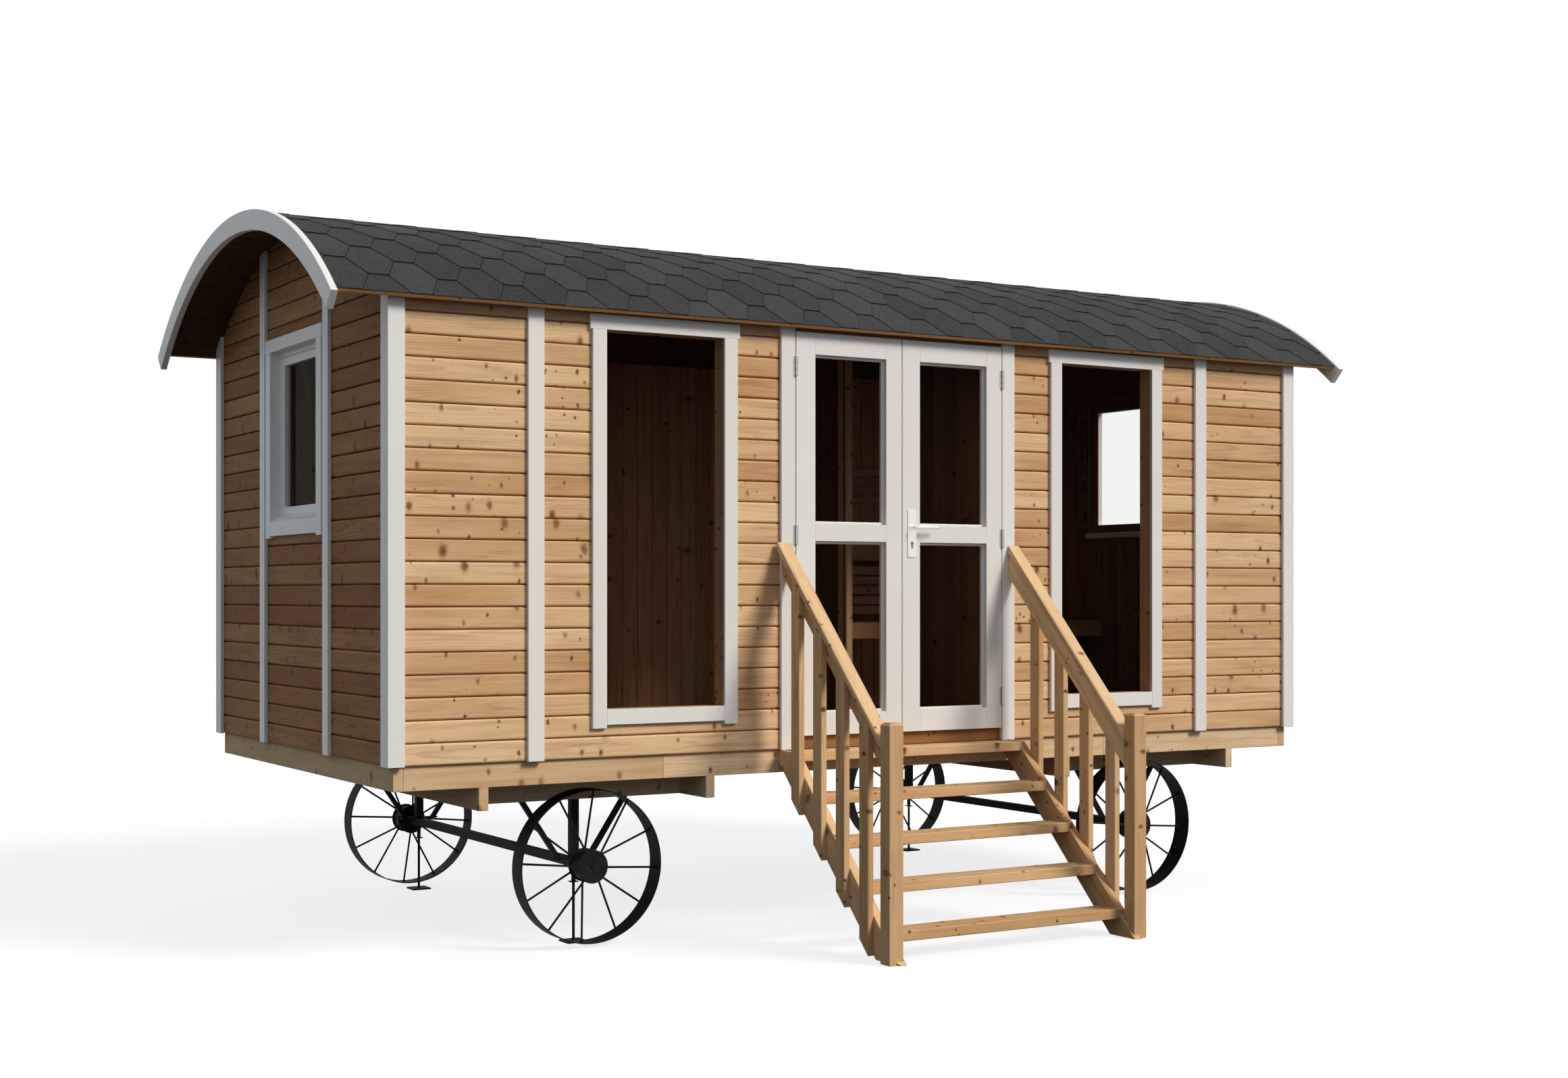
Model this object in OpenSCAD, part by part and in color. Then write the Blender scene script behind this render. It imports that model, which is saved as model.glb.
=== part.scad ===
// Mobile sauna: a timber cabin under an arched shingle roof, carried on two axles with
// spoked iron wheels, levelled on four screw jacks and entered by a flight of wooden steps.
// X runs along the cabin, the doors face -Y and Z is up. Lengths are in millimetres.
// Inside the modules Y counts from the cabin's middle and Z from the underside of the walls.

/* [Cabin] */
// Length over the wall cladding
cabin_len = 5150; // [4290:1:6180]
// Depth over the wall cladding
cabin_depth = 2540; // [2110:1:3050]
// Thickness of the walls
wall_t = 80; // [66:1:100]
// Height of the front wall's outer face
eave_h = 2016; // [1990:1:2450]
// Thickness of the floor
floor_t = 28; // [20:1:40]

/* [Roof] */
// Radius of the roof deck's underside
roof_r = 2065; // [1720:1:2600]
// Thickness of the roof deck
deck_t = 19; // [12:1:30]
// Thickness of the shingles
shingle_t = 4; // [2:1:8]
// How far the shingles reach past the long walls
eave_over = 81; // [50:1:120]
// How far the bargeboards stand past the end walls
gable_over = 295; // [200:1:400]
// Depth of the bargeboards
barge_h = 93; // [70:1:120]
// Thickness of the bargeboards
barge_t = 31; // [20:1:45]
// How far the bargeboards' tips reach past the long walls
barge_over = 115; // [90:1:150]
// How far the bargeboards stand above the shingles
barge_up = 9; // [2:1:20]

/* [Trim] */
// Width of the corner boards, battens and door casings
trim_w = 76; // [60:1:95]
// Thickness of all boards planted on the cladding
trim_t = 18; // [12:1:25]
// Distance of the long walls' battens from the middle
batten_x = 1918; // [1760:1:2100]
// Distance of the end walls' battens from the middle
batten_y = 477; // [470:1:600]

/* [Base frame] */
// Height of the base beams
beam_h = 105; // [85:1:130]
// Thickness of the base beams and joists
beam_t = 45; // [35:1:60]
// How far the base beams stand back from the cladding
beam_in = 18; // [10:1:30]
// Distance of the front and back beams' butt joints from the middle
beam_joint_x = 1280; // [1000:1:1500]
// Largest distance between floor joists
joist_pitch = 620; // [500:1:750]
// Height of the cross bearers and long rails
bearer_h = 100; // [80:1:120]
// Thickness of the cross bearers and long rails
bearer_t = 45; // [35:1:60]
// Half the distance between the two bearers of one axle
bearer_half = 556; // [460:1:660]
// Distance of the long rails' middles from the cabin's middle
rail_y = 970; // [900:1:1040]

/* [Axles and wheels] */
// Distance of the axles from the cabin's middle
axle_x = 1593; // [1500:1:1800]
// Room between the tops of the wheels and the base frame
wheel_clear = 42; // [20:1:100]
// Side of the square axle beams and their posts
axle_w = 38; // [34:1:60]
// Side of the braces beside the posts
brace_w = 22; // [18:1:32]
// How far the braces reach along the long rails
brace_reach = 256; // [200:1:300]
// Distance of the braces' feet from the posts' middles, level with the axle
brace_foot = 64; // [40:1:100]
// Thickness of the plates under the braces' feet
saddle_t = 8; // [5:0.5:12]
// Radius of the axle stubs
stub_r = 17; // [14:0.5:24]
// Radius of the wheels
wheel_r = 345; // [290:1:400]
// Width of the wheel rims
rim_w = 105; // [60:1:120]
// Thickness of the wheel rims
rim_t = 5; // [4:0.5:10]
// Radius of the hub's end discs
hub_r = 75; // [60:1:90]
// Radius of the hub's barrel
barrel_r = 66; // [50:1:72]
// Length of the hub
hub_w = 100; // [84:1:120]
// How far the hub stands out beyond the rim
hub_proud = 2; // [0:1:40]
// Distance of the wheels' middle planes from the cabin's middle
wheel_y = 1119.5; // [1100:0.5:1180]
// Radius of the spokes
spoke_r = 5; // [4:0.5:7]
// Number of spokes in a wheel
spokes = 12; // [8:2:16]
// Angle of the first spoke below the level
spoke_turn = 5; // [0:1:30]

/* [Jacks] */
// Height of the wheels above the ground
wheel_lift = 18; // [5:1:60]
// Radius of the jacks' screws
screw_r = 6.5; // [5:0.5:10]
// Radius of the jacks' tubes under the axle beams
tube_r = 10; // [9:0.5:14]
// Side of the jacks' foot plates
foot_w = 100; // [80:1:120]
// Thickness of the jacks' foot plates
foot_t = 8; // [6:1:12]
// Side of the jacks' collars
collar_w = 36; // [30:1:54]
// Thickness of the jacks' collars
collar_t = 4; // [3:0.5:8]
// Height of the jacks' collars under the axle beams
collar_drop = 72; // [40:1:90]

/* [Doors] */
// Width of the doorway between the casings
door_w = 1206; // [1180:1:1440]
// Height of the leaves' lower edge
leaf_z0 = 62; // [55:1:75]
// Height of the leaves' upper edge
leaf_z1 = 1954; // [1900:1:1960]
// Thickness of the leaves
leaf_t = 44; // [40:1:54]
// Gap around the leaves
leaf_gap = 5; // [4:0.5:7]
// Width of the left leaf's meeting stile
left_stile = 90; // [80:1:108]
// Width of the right leaf's meeting stile
right_stile = 102; // [85:1:120]
// Width of the leaves' glass openings
leaf_glass_w = 400; // [330:1:420]
// Width of the leaves' top and bottom rails
leaf_rail = 103; // [85:1:125]
// Height of the middle rail's lower edge
lock_rail_z = 975; // [940:1:990]
// Width of the middle rail
lock_rail = 82; // [75:1:98]
// Recess of the glazing beads behind the leaf's face
bead_in = 20; // [16:1:24]
// Width of the glazing beads
bead_w = 12; // [8:1:16]
// Angle that the leaves open to
leaf_swing = 90; // [60:1:95]
// Width of the stops behind the leaves
stop_w = 30; // [20:1:40]
// Height of the hinges
hinge_h = 91; // [75:1:110]
// Radius of the hinge knuckles
knuckle_r = 5; // [4:0.5:6]
// Radius of the hinge pins
pin_r = 2.5; // [2:0.25:3]
// Thickness of the hinge plates
hinge_plate_t = 1.8; // [1:0.1:2]
// Width of the plate that shows on each side of a hinge's pin
hinge_show = 13; // [10:0.5:16]

/* [Handle] */
// Height of the lever's spindle
lever_z = 1049; // [1030:1:1055]
// Distance of the spindle from the right leaf's meeting edge
lever_in = 53; // [46:1:60]
// Length of the lever from the spindle's axis
lever_len = 139; // [108:1:150]
// How far the lever stands out from the leaf
lever_out = 50; // [42:1:60]
// Width of the handle plate
plate_w = 48; // [40:1:54]
// Height of the handle plate
plate_h = 231; // [200:1:250]
// Thickness of the handle plates
plate_t = 4; // [3:0.5:6]
// Distance of the plate's top above the spindle
plate_up = 85; // [70:1:95]
// Radius of the lever's neck
neck_r = 8; // [6:0.5:10]
// Radius of the square-keyed spindle
spindle_r = 4; // [3:0.5:5]

/* [Front windows] */
// Distance of the windows' middles from the cabin's middle
front_window_x = 1279.5; // [1250:0.5:1320]
// Width of the glass that shows
front_window_w = 597; // [500:1:640]
// Height of the glass's lower edge
front_window_z0 = 216; // [180:1:300]
// Height of the glass's upper edge
front_window_z1 = 1896; // [1700:1:1900]
// Width of the casings
front_casing_w = 69; // [58:1:80]
// How far the head casing reaches past the side casings
head_ear = 12; // [5:1:16]
// How far the side casings reach under the bottom casing
side_drop = 15; // [5:1:25]

/* [End windows] */
// Width between the casings
end_window_w = 692; // [580:1:710]
// Height of the opening's lower edge
end_window_z0 = 1077; // [900:1:1150]
// Height of the opening's upper edge
end_window_z1 = 1896; // [1700:1:1940]
// Height of the bottom casing
end_casing_low = 71; // [60:1:85]
// Height of the head casing
end_casing_head = 62; // [50:1:75]
// Width of the side casings
end_casing_w = 75; // [60:1:90]
// Depth of the opening from the casing's face to the sash
reveal = 46; // [36:1:54]
// Width of the fixed frame that shows beside the sash
frame_show = 27; // [22:1:32]
// Thickness of the sash
sash_t = 40; // [34:1:46]
// Width of the sash's stiles
sash_stile = 49; // [40:1:58]
// Width of the sash's rails
sash_rail = 41; // [34:1:50]
// How far the sill falls towards the outside
sill_fall = 23; // [15:1:25]

/* [Glass] */
// Thickness of all panes
glass_t = 6; // [4:1:8]
// How deep the panes sit in their grooves
glass_in = 8; // [5:1:10]
// Depth of the front windows' panes behind the casings' faces
glass_back = 5; // [3:1:6]

/* [Stairs] */
// Number of treads
treads = 5; // [4:1:5]
// Rise of one step
rise = 181.5; // [150:0.5:200]
// Going of one step
going = 186; // [160:1:200]
// Depth of a tread
tread_d = 140; // [120:1:168]
// Thickness of a tread
tread_t = 45; // [38:1:54]
// Distance of the top tread's nose from the cladding
top_nose = 134; // [112:1:150]
// Width between the stringers' inner faces
stair_w = 1262; // [1240:1:1290]
// Thickness of the stringers
stringer_t = 44; // [36:1:52]
// Level width of the stringers
stringer_d = 179; // [150:1:200]
// How far the treads are housed in the stringers
housing = 24; // [12:1:30]
// Distance of the stringers' front edge behind the nosings' line
nose_out = 30; // [20:1:36]
// Side of the newels
newel_w = 72; // [60:1:86]
// Height of the newels' tops above the walls' underside
newel_top = 178; // [150:1:215]
// Chamfer of the newels' tops
newel_chamfer = 12; // [6:1:16]
// Distance of the newels' outer faces from the stringers' outer faces
newel_out = 37.5; // [30:0.5:45]
// Distance of the newels' fronts from the cladding
newel_front = 965; // [880:1:980]
// Height of the handrails at the doorway
rail_top = 969; // [810:1:1000]
// Height of the handrails at the newels
rail_foot = 85; // [70:1:110]
// Width of the handrails
cap_w = 70; // [58:1:84]
// Thickness of the handrails
cap_t = 29; // [24:1:35]
// Height of the boards under the handrails
under_h = 80; // [66:1:96]
// Distance of the boards' inner faces from the handrails' inner edges
under_in = 4; // [2:1:8]
// Width of a baluster along the stairs
baluster_d = 70; // [58:1:84]
// Thickness of a baluster
baluster_t = 30; // [25:1:36]
// Distance between balusters
baluster_pitch = 190; // [160:1:200]
// Distance of the first baluster's front from the cladding
baluster_front = 216; // [180:1:230]

/* [Sauna room] */
// Distance of the partition's left face behind the doorway's edge
partition_in = 3; // [1:1:20]
// Thickness of the partition
partition_t = 60; // [50:1:72]
// Front edge of the partition's passage, before the cabin's middle
passage_front = 280; // [230:1:340]
// Width of the post at the passage's back edge
post_w = 54; // [44:1:70]
// Gap between the post and the stile before it
post_gap = 16; // [10:1:30]
// Width of the stile
stile_w = 24; // [18:1:40]
// Thickness of the stile
stile_t = 26; // [18:1:50]
// Back edge of the partition's passage, behind the cabin's middle
passage_back = 231; // [190:1:280]
// Height of the lower seat above the floor
low_seat_h = 537; // [450:1:600]
// Height of the upper seat above the floor
high_seat_h = 985; // [850:1:1050]
// Depth of both benches together
bench_d = 984; // [820:1:1180]
// Depth of the upper bench
high_seat_d = 590; // [500:1:640]
// Thickness of the seats
seat_t = 28; // [20:1:35]
// Height of the boards along the seats' front edges
fascia_h = 92; // [76:1:110]
// Thickness of the benches' boards
bench_board_t = 20; // [16:1:26]
// Height of a bench slat
slat_h = 48; // [38:1:50]
// Distance between bench slats
slat_pitch = 58; // [54:1:62]
// Number of slats between the two seats
slats = 5; // [3:1:5]
// Gap between the upper seat's edge board and the first slat
slat_gap = 33; // [10:1:40]
// Height of the backrest above the upper seat
backrest_h = 270; // [220:1:320]
// Number of slats in the backrest
backrest_slats = 4; // [2:1:6]

/* [Hidden] */

// Fits: touching boards in one node stand joint_gap apart, and pieces rest seat_gap off
// a curved or moving face. run_gap is the radial clearance of a turning fit.
joint_gap = 0.5;
seat_gap = 0.3;
run_gap = 0.05;
cut = 1;
round_fn = 96;
roof_fn = 720;

half_len = cabin_len / 2;
half_depth = cabin_depth / 2;
inner_x = half_len - wall_t;
inner_y = half_depth - wall_t;
trim_x = half_len + trim_t;
trim_y = half_depth + trim_t;
beam_x = half_len - beam_in;
beam_y = half_depth - beam_in;
bearer_z = -beam_h - bearer_h;
axle_z = beam_h + wheel_clear + wheel_r;
wall_z = axle_z + wheel_r + wheel_lift;

roof_z = eave_h - sqrt(roof_r * roof_r - half_depth * half_depth);
deck_r = roof_r + deck_t;
shingle_r = deck_r + shingle_t;
barge_r = shingle_r + barge_up;
barge_x = half_len + gable_over;
deck_x = barge_x - barge_t;
deck_angle = asin((half_depth + eave_over) / shingle_r);
barge_angle = asin((half_depth + barge_over) / barge_r);
high_z = roof_z + roof_r + cut;

door_half = door_w / 2;
leaf_w = door_half - 1.5 * leaf_gap;
leaf_y0 = -trim_y;
leaf_y1 = leaf_y0 + leaf_t;
leaf_inner_x = leaf_gap / 2;
leaf_outer_x = leaf_inner_x + leaf_w;
hinge_x = door_half - leaf_gap / 2;
hinge_y = leaf_y0 - knuckle_r - 2;
hinge_plate_d = 26;
knuckle_gap = 0.4;
door_glass_y = leaf_y0 + bead_in + bead_w;
upper_light_z = lock_rail_z + lock_rail;
hinge_levels = [leaf_z0 + 158, (leaf_z0 + leaf_z1) / 2 - 6, leaf_z1 - 163];
lever_x = leaf_inner_x + lever_in;
lever_w = 19;
spindle_clear = 2;

front_hole_t = 18;
end_frame_t = 18;
sash_gap = 0.5;
sash_x = trim_x - reveal;
sash_half = end_window_w / 2 - frame_show - sash_gap;
sash_z0 = end_window_z0 + frame_show + sash_gap;
sash_z1 = end_window_z1 - frame_show - sash_gap;
end_glass_x = sash_x - sash_t / 2 - glass_t / 2;
inner_sill_d = 25;
inner_sill_t = 29;

slope = rise / going;
stair_drop = 2;
stringer_x = stair_w / 2;
stringer_y = -half_depth - top_nose + nose_out;
ground = -wall_z;
newel_x = stringer_x + stringer_t + newel_out - newel_w;
newel_y = -half_depth - newel_front;
cap_x = stringer_x + stringer_t + baluster_t - cap_w;
cap_y0 = newel_y + newel_w;
cap_slope = (rail_top - rail_foot) / (-trim_y - cap_y0);
cap_v = cap_t * sqrt(1 + cap_slope * cap_slope);
under_v = under_h * sqrt(1 + cap_slope * cap_slope);
balusters = floor((-baluster_d - cap_y0 - half_depth - baluster_front + baluster_d) / baluster_pitch) + 1;

rim_half = rim_w / 2;
hub_out = wheel_y + rim_half + hub_proud;
hub_in = hub_out - hub_w;
disc_t = 6;
axle_end = hub_in - 5;
stub_end = hub_out - 15;
bolt_r = 9;
bolt_h = 6;

partition_x = door_half + partition_in;
partition_x1 = partition_x + partition_t;
post_out = 6;
room_x0 = partition_x1 + joint_gap;
room_x1 = inner_x - joint_gap;
low_y = inner_y - bench_d;
high_y = inner_y - high_seat_d;
low_z = floor_t + low_seat_h;
high_seat_z = floor_t + high_seat_h;

// The whole object stands on the ground, with the origin under the middle of its outline.
front_end = min(newel_y, stringer_y - wall_z / slope);
back_end = half_depth + barge_over;
shift_y = -(front_end + back_end) / 2;

module placed() {
    translate([0, shift_y, wall_z]) children();
}

module both_ends() {
    children();
    mirror([1, 0, 0]) children();
}

module both_sides() {
    children();
    mirror([0, 1, 0]) children();
}

// A box from its limits along X, Y and Z.
module block(x, y, z) {
    translate([x[0], y[0], z[0]]) cube([x[1] - x[0], y[1] - y[0], z[1] - z[0]]);
}

// A flat outline in Y and Z, carried along X.
module along_x(x) {
    translate([x[0], 0, 0]) rotate([90, 0, 90]) linear_extrude(x[1] - x[0]) children();
}

// A curved band of the roof between two radii.
module roof_band(inner, outer, angle, x) {
    reach = 2 * outer;
    translate([0, 0, roof_z])
        along_x(x)
            intersection() {
                difference() {
                    circle(outer, $fn = roof_fn);
                    circle(inner, $fn = roof_fn);
                }
                polygon([[0, 0], [reach * sin(angle), reach * cos(angle)],
                    [-reach * sin(angle), reach * cos(angle)]]);
            }
}

// Cuts what stands under the roof to the deck's curve.
module under_roof() {
    intersection() {
        children();
        translate([0, 0, roof_z])
            along_x([-barge_x, barge_x])
                circle(roof_r - seat_gap, $fn = roof_fn);
    }
}

// ---- Base ----

module base_frame() {
    color("burlywood") placed() {
        both_ends() block([beam_x - beam_t, beam_x], [-beam_y, beam_y], [-beam_h, 0]);
        both_sides() {
            both_ends()
                block([beam_joint_x + joint_gap, beam_x - beam_t - joint_gap],
                    [beam_y - beam_t, beam_y], [-beam_h, 0]);
            block([-beam_joint_x, beam_joint_x], [beam_y - beam_t, beam_y], [-beam_h, 0]);
        }
        joists = ceil((2 * (beam_x - beam_t)) / joist_pitch);
        step = 2 * (beam_x - beam_t) / joists;
        for (i = [1 : joists - 1])
            translate([i * step - beam_x + beam_t - beam_t / 2, 0, 0])
                block([0, beam_t], [-beam_y + beam_t + joint_gap, beam_y - beam_t - joint_gap],
                    [-beam_h, 0]);
    }
}

module cross_bearers() {
    color("burlywood") placed()
        both_ends()
            for (x = [axle_x - bearer_half, axle_x + bearer_half])
                block([x - bearer_t / 2, x + bearer_t / 2], [-beam_y, beam_y], [bearer_z, -beam_h]);
}

module long_rails() {
    color("burlywood") placed()
        both_ends() both_sides()
            block([axle_x - bearer_half + bearer_t / 2, axle_x + bearer_half - bearer_t / 2],
                [rail_y - bearer_t / 2, rail_y + bearer_t / 2], [bearer_z, -beam_h]);
}

module floor_slab() {
    color("peru") placed() block([-inner_x, inner_x], [-inner_y, inner_y], [0, floor_t]);
}

// ---- Walls ----

module front_wall() {
    win_x0 = front_window_x - front_window_w / 2 - front_hole_t;
    win_x1 = front_window_x + front_window_w / 2 + front_hole_t;
    under_roof()
        difference() {
            block([door_half, half_len], [-half_depth, -inner_y], [0, high_z]);
            block([win_x0, win_x1], [-half_depth - cut, -inner_y + cut],
                [front_window_z0 - front_hole_t, front_window_z1 + front_hole_t]);
        }
}

module front_wall_left() {
    color("sandybrown") placed() mirror([1, 0, 0]) front_wall();
}

module front_wall_right() {
    color("sandybrown") placed() front_wall();
}

module door_header() {
    color("saddlebrown") placed()
        under_roof()
            block([-door_half, door_half], [-half_depth + 8, -inner_y],
                [leaf_z1 + leaf_gap, high_z]);
}

module back_wall() {
    color("sandybrown") placed()
        under_roof()
            block([-half_len, half_len], [inner_y, half_depth], [0, high_z]);
}

module end_wall() {
    hole_y = end_window_w / 2 + end_frame_t;
    under_roof()
        difference() {
            block([inner_x, half_len], [-inner_y, inner_y], [0, high_z]);
            block([inner_x - cut, half_len + cut], [-hole_y, hole_y],
                [end_window_z0 - end_frame_t, end_window_z1 + end_frame_t]);
        }
}

module end_wall_left() {
    color("sandybrown") placed() mirror([1, 0, 0]) end_wall();
}

module end_wall_right() {
    color("sandybrown") placed() end_wall();
}

module corner_boards() {
    color("whitesmoke") placed()
        both_ends() both_sides()
            under_roof() {
                block([trim_x - trim_w, trim_x], [half_depth, trim_y], [0, high_z]);
                block([half_len, trim_x], [trim_y - trim_w - trim_t / 2, trim_y], [0, high_z]);
            }
}

module wall_battens() {
    color("whitesmoke") placed() {
        both_ends() both_sides() under_roof() {
            block([batten_x - trim_w / 2, batten_x + trim_w / 2], [half_depth, trim_y], [0, high_z]);
        }
        both_ends() both_sides() under_roof() {
            block([half_len, trim_x], [batten_y - trim_w / 2, batten_y + trim_w / 2], [0, high_z]);
        }
        both_ends() under_roof()
            block([door_half, door_half + trim_w], [half_depth, trim_y], [0, high_z]);
    }
}

// ---- Roof ----

module roof_deck() {
    color("saddlebrown") placed() roof_band(roof_r, deck_r, deck_angle, [-deck_x, deck_x]);
}

module shingle_skin() {
    color("dimgray") placed() roof_band(deck_r, shingle_r, deck_angle, [-deck_x, deck_x]);
}

module bargeboards() {
    color("whitesmoke") placed()
        both_ends()
            roof_band(barge_r - barge_h, barge_r, barge_angle, [deck_x, barge_x]);
}

// ---- Windows ----

// A pane's groove, a little larger than the pane.
module front_pane(extra) {
    margin = glass_in + extra;
    block([front_window_x - front_window_w / 2 - margin, front_window_x + front_window_w / 2 + margin],
        [-trim_y + glass_back - extra, -trim_y + glass_back + glass_t + extra],
        [front_window_z0 - margin, front_window_z1 + margin]);
}

module front_window_casings() {
    x0 = front_window_x - front_window_w / 2;
    x1 = front_window_x + front_window_w / 2;
    w = front_casing_w;
    y = [-trim_y, -half_depth];
    color("whitesmoke") placed()
        both_ends()
            difference() {
                union() {
                    block([x0 - w, x0], y, [front_window_z0 - w - side_drop, front_window_z1]);
                    block([x1, x1 + w], y, [front_window_z0 - w - side_drop, front_window_z1]);
                    block([x0, x1], y, [front_window_z0 - w, front_window_z0]);
                    block([x0 - w - head_ear, x1 + w + head_ear], y,
                        [front_window_z1, front_window_z1 + w]);
                    difference() {
                        block([x0 - front_hole_t, x1 + front_hole_t], [-half_depth, -inner_y],
                            [front_window_z0 - front_hole_t, front_window_z1 + front_hole_t]);
                        block([x0, x1], [-half_depth - cut, -inner_y + cut],
                            [front_window_z0, front_window_z1]);
                    }
                }
                front_pane(seat_gap);
            }
}

module front_window_glass() {
    color([0.7, 0.8, 0.85, 0.4]) placed() both_ends() front_pane(0);
}

module end_pane(extra) {
    margin = glass_in + extra;
    half = sash_half - sash_stile + margin;
    block([end_glass_x - extra, end_glass_x + glass_t + extra], [-half, half],
        [sash_z0 + sash_rail - margin, sash_z1 - sash_rail + margin]);
}

module end_window_frames() {
    half = end_window_w / 2;
    z = [end_window_z0, end_window_z1];
    color("whitesmoke") placed()
        both_ends() {
            // Casing on the cladding
            both_sides()
                block([half_len, trim_x], [half, half + end_casing_w],
                    [z[0] - end_casing_low - side_drop + 4, z[1]]);
            block([half_len, trim_x], [-half - end_casing_w - 7, half + end_casing_w + 7],
                [z[1], z[1] + end_casing_head]);
            block([half_len, trim_x], [-half, half], [z[0] - end_casing_low, z[0]]);
            // Lining through the wall
            difference() {
                block([inner_x, half_len], [-half - end_frame_t, half + end_frame_t],
                    [z[0] - end_frame_t, z[1] + end_frame_t]);
                block([inner_x - cut, half_len + cut], [-half, half], z);
            }
            // Fixed frame around the sash
            difference() {
                block([sash_x - sash_t, sash_x], [-half, half], z);
                block([sash_x - sash_t - cut, sash_x + cut], [-half + frame_show, half - frame_show],
                    [z[0] + frame_show, z[1] - frame_show]);
            }
            // Sloping sill outside and window board inside
            translate([0, half, 0])
                rotate([90, 0, 0])
                    linear_extrude(2 * half)
                        polygon([[sash_x, z[0]], [trim_x, z[0]], [sash_x, z[0] + sill_fall]]);
            block([inner_x - inner_sill_d, inner_x], [-half + 3, half - 3],
                [z[0] + end_frame_t - inner_sill_t, z[0] + end_frame_t]);
        }
}

module end_window_sashes() {
    inner = sash_half - sash_stile;
    color("whitesmoke") placed()
        both_ends()
            difference() {
                block([sash_x - sash_t, sash_x], [-sash_half, sash_half], [sash_z0, sash_z1]);
                block([sash_x - sash_t - cut, sash_x + cut], [-inner, inner],
                    [sash_z0 + sash_rail, sash_z1 - sash_rail]);
                end_pane(seat_gap);
            }
}

module end_window_glass() {
    color([0.7, 0.8, 0.85, 0.4]) placed() both_ends() end_pane(0);
}

// ---- Doors ----

module door_casings() {
    color("whitesmoke") placed()
        both_ends() under_roof()
            block([door_half, door_half + trim_w], [-trim_y, -half_depth], [0, high_z]);
}

module door_stops() {
    y = [leaf_y1 + leaf_gap, -inner_y];
    color("saddlebrown") placed() {
        both_ends()
            block([door_half - stop_w, door_half], y, [leaf_z0 - leaf_gap, leaf_z1 + leaf_gap]);
        block([-door_half + stop_w + joint_gap, door_half - stop_w - joint_gap], y,
            [leaf_z1 + leaf_gap - stop_w, leaf_z1 + leaf_gap]);
    }
}

module door_sill() {
    color("saddlebrown") placed()
        block([-door_half, door_half], [-half_depth + 8, -inner_y], [0, leaf_z0 - leaf_gap]);
}

// One light of a leaf: the opening down to the bead, the bead's own opening and the groove.
module leaf_light(x, z) {
    block(x, [leaf_y0 - cut, leaf_y0 + bead_in], z);
    block([x[0] + bead_w, x[1] - bead_w], [leaf_y0, leaf_y1 + cut], [z[0] + bead_w, z[1] - bead_w]);
    leaf_pane(x, z, seat_gap);
}

module leaf_pane(x, z, extra) {
    margin = bead_w - glass_in - extra;
    block([x[0] + margin, x[1] - margin], [door_glass_y - extra, door_glass_y + glass_t + extra],
        [z[0] + margin, z[1] - margin]);
}

function light_x(stile) = [leaf_inner_x + stile, leaf_inner_x + stile + leaf_glass_w];
lower_light = [leaf_z0 + leaf_rail, lock_rail_z];
upper_light = [upper_light_z, leaf_z1 - leaf_rail];

module leaf(stile) {
    difference() {
        block([leaf_inner_x, leaf_outer_x], [leaf_y0, leaf_y1], [leaf_z0, leaf_z1]);
        leaf_light(light_x(stile), lower_light);
        leaf_light(light_x(stile), upper_light);
    }
}

module leaf_glass(stile) {
    leaf_pane(light_x(stile), lower_light, 0);
    leaf_pane(light_x(stile), upper_light, 0);
}

module door_leaf_left() {
    color("whitesmoke") placed() mirror([1, 0, 0]) leaf(left_stile);
}

module door_leaf_right() {
    color("whitesmoke") placed()
        difference() {
            leaf(right_stile);
            at_spindle(leaf_y0 - cut) cylinder(h = leaf_t + 2 * cut, r = spindle_r + spindle_clear,
                $fn = round_fn);
        }
}

module door_glass_left() {
    color([0.7, 0.8, 0.85, 0.4]) placed() mirror([1, 0, 0]) leaf_glass(left_stile);
}

module door_glass_right() {
    color([0.7, 0.8, 0.85, 0.4]) placed() leaf_glass(right_stile);
}

// One third of a hinge's height, counted from its middle.
function knuckle(part) = [hinge_h * (part / 3 - 1 / 6), hinge_h * (part / 3 + 1 / 6)];

module frame_hinge() {
    for (part = [-1, 1])
        translate([hinge_x, hinge_y, knuckle(part)[0]])
            cylinder(h = hinge_h / 3, r = knuckle_r, $fn = round_fn);
    translate([hinge_x, hinge_y, -hinge_h / 2]) cylinder(h = hinge_h, r = pin_r, $fn = round_fn);
    for (part = [-1, 1])
        block([door_half - hinge_plate_t, door_half], [hinge_y, hinge_y + hinge_plate_d],
            knuckle(part));
    block([door_half - hinge_plate_t, door_half], [hinge_y + knuckle_r + 1, hinge_y + hinge_plate_d],
        [-hinge_h / 2, hinge_h / 2]);
    block([door_half - hinge_plate_t, door_half - hinge_plate_t + hinge_show],
        [-trim_y - hinge_plate_t, -trim_y], [-hinge_h / 2, hinge_h / 2]);
}

module leaf_hinge() {
    z = [knuckle(0)[0] + knuckle_gap, knuckle(0)[1] - knuckle_gap];
    difference() {
        union() {
            translate([hinge_x, hinge_y, z[0]])
                cylinder(h = z[1] - z[0], r = knuckle_r, $fn = round_fn);
            block([leaf_outer_x, leaf_outer_x + hinge_plate_t], [hinge_y, leaf_y0 + 4], z);
            block([leaf_outer_x, leaf_outer_x + hinge_plate_t],
                [hinge_y + knuckle_r + 1, hinge_y + hinge_plate_d], [-hinge_h / 2, hinge_h / 2]);
            block([leaf_outer_x + hinge_plate_t - hinge_show, leaf_outer_x + hinge_plate_t],
                [leaf_y0 - hinge_plate_t, leaf_y0], [-hinge_h / 2, hinge_h / 2]);
        }
        translate([hinge_x, hinge_y, z[0] - cut])
            cylinder(h = z[1] - z[0] + 2 * cut, r = pin_r + run_gap, $fn = round_fn);
    }
}

module frame_hinges() {
    color("silver") placed()
        both_ends()
            for (z = hinge_levels)
                translate([0, 0, z]) frame_hinge();
}

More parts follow.
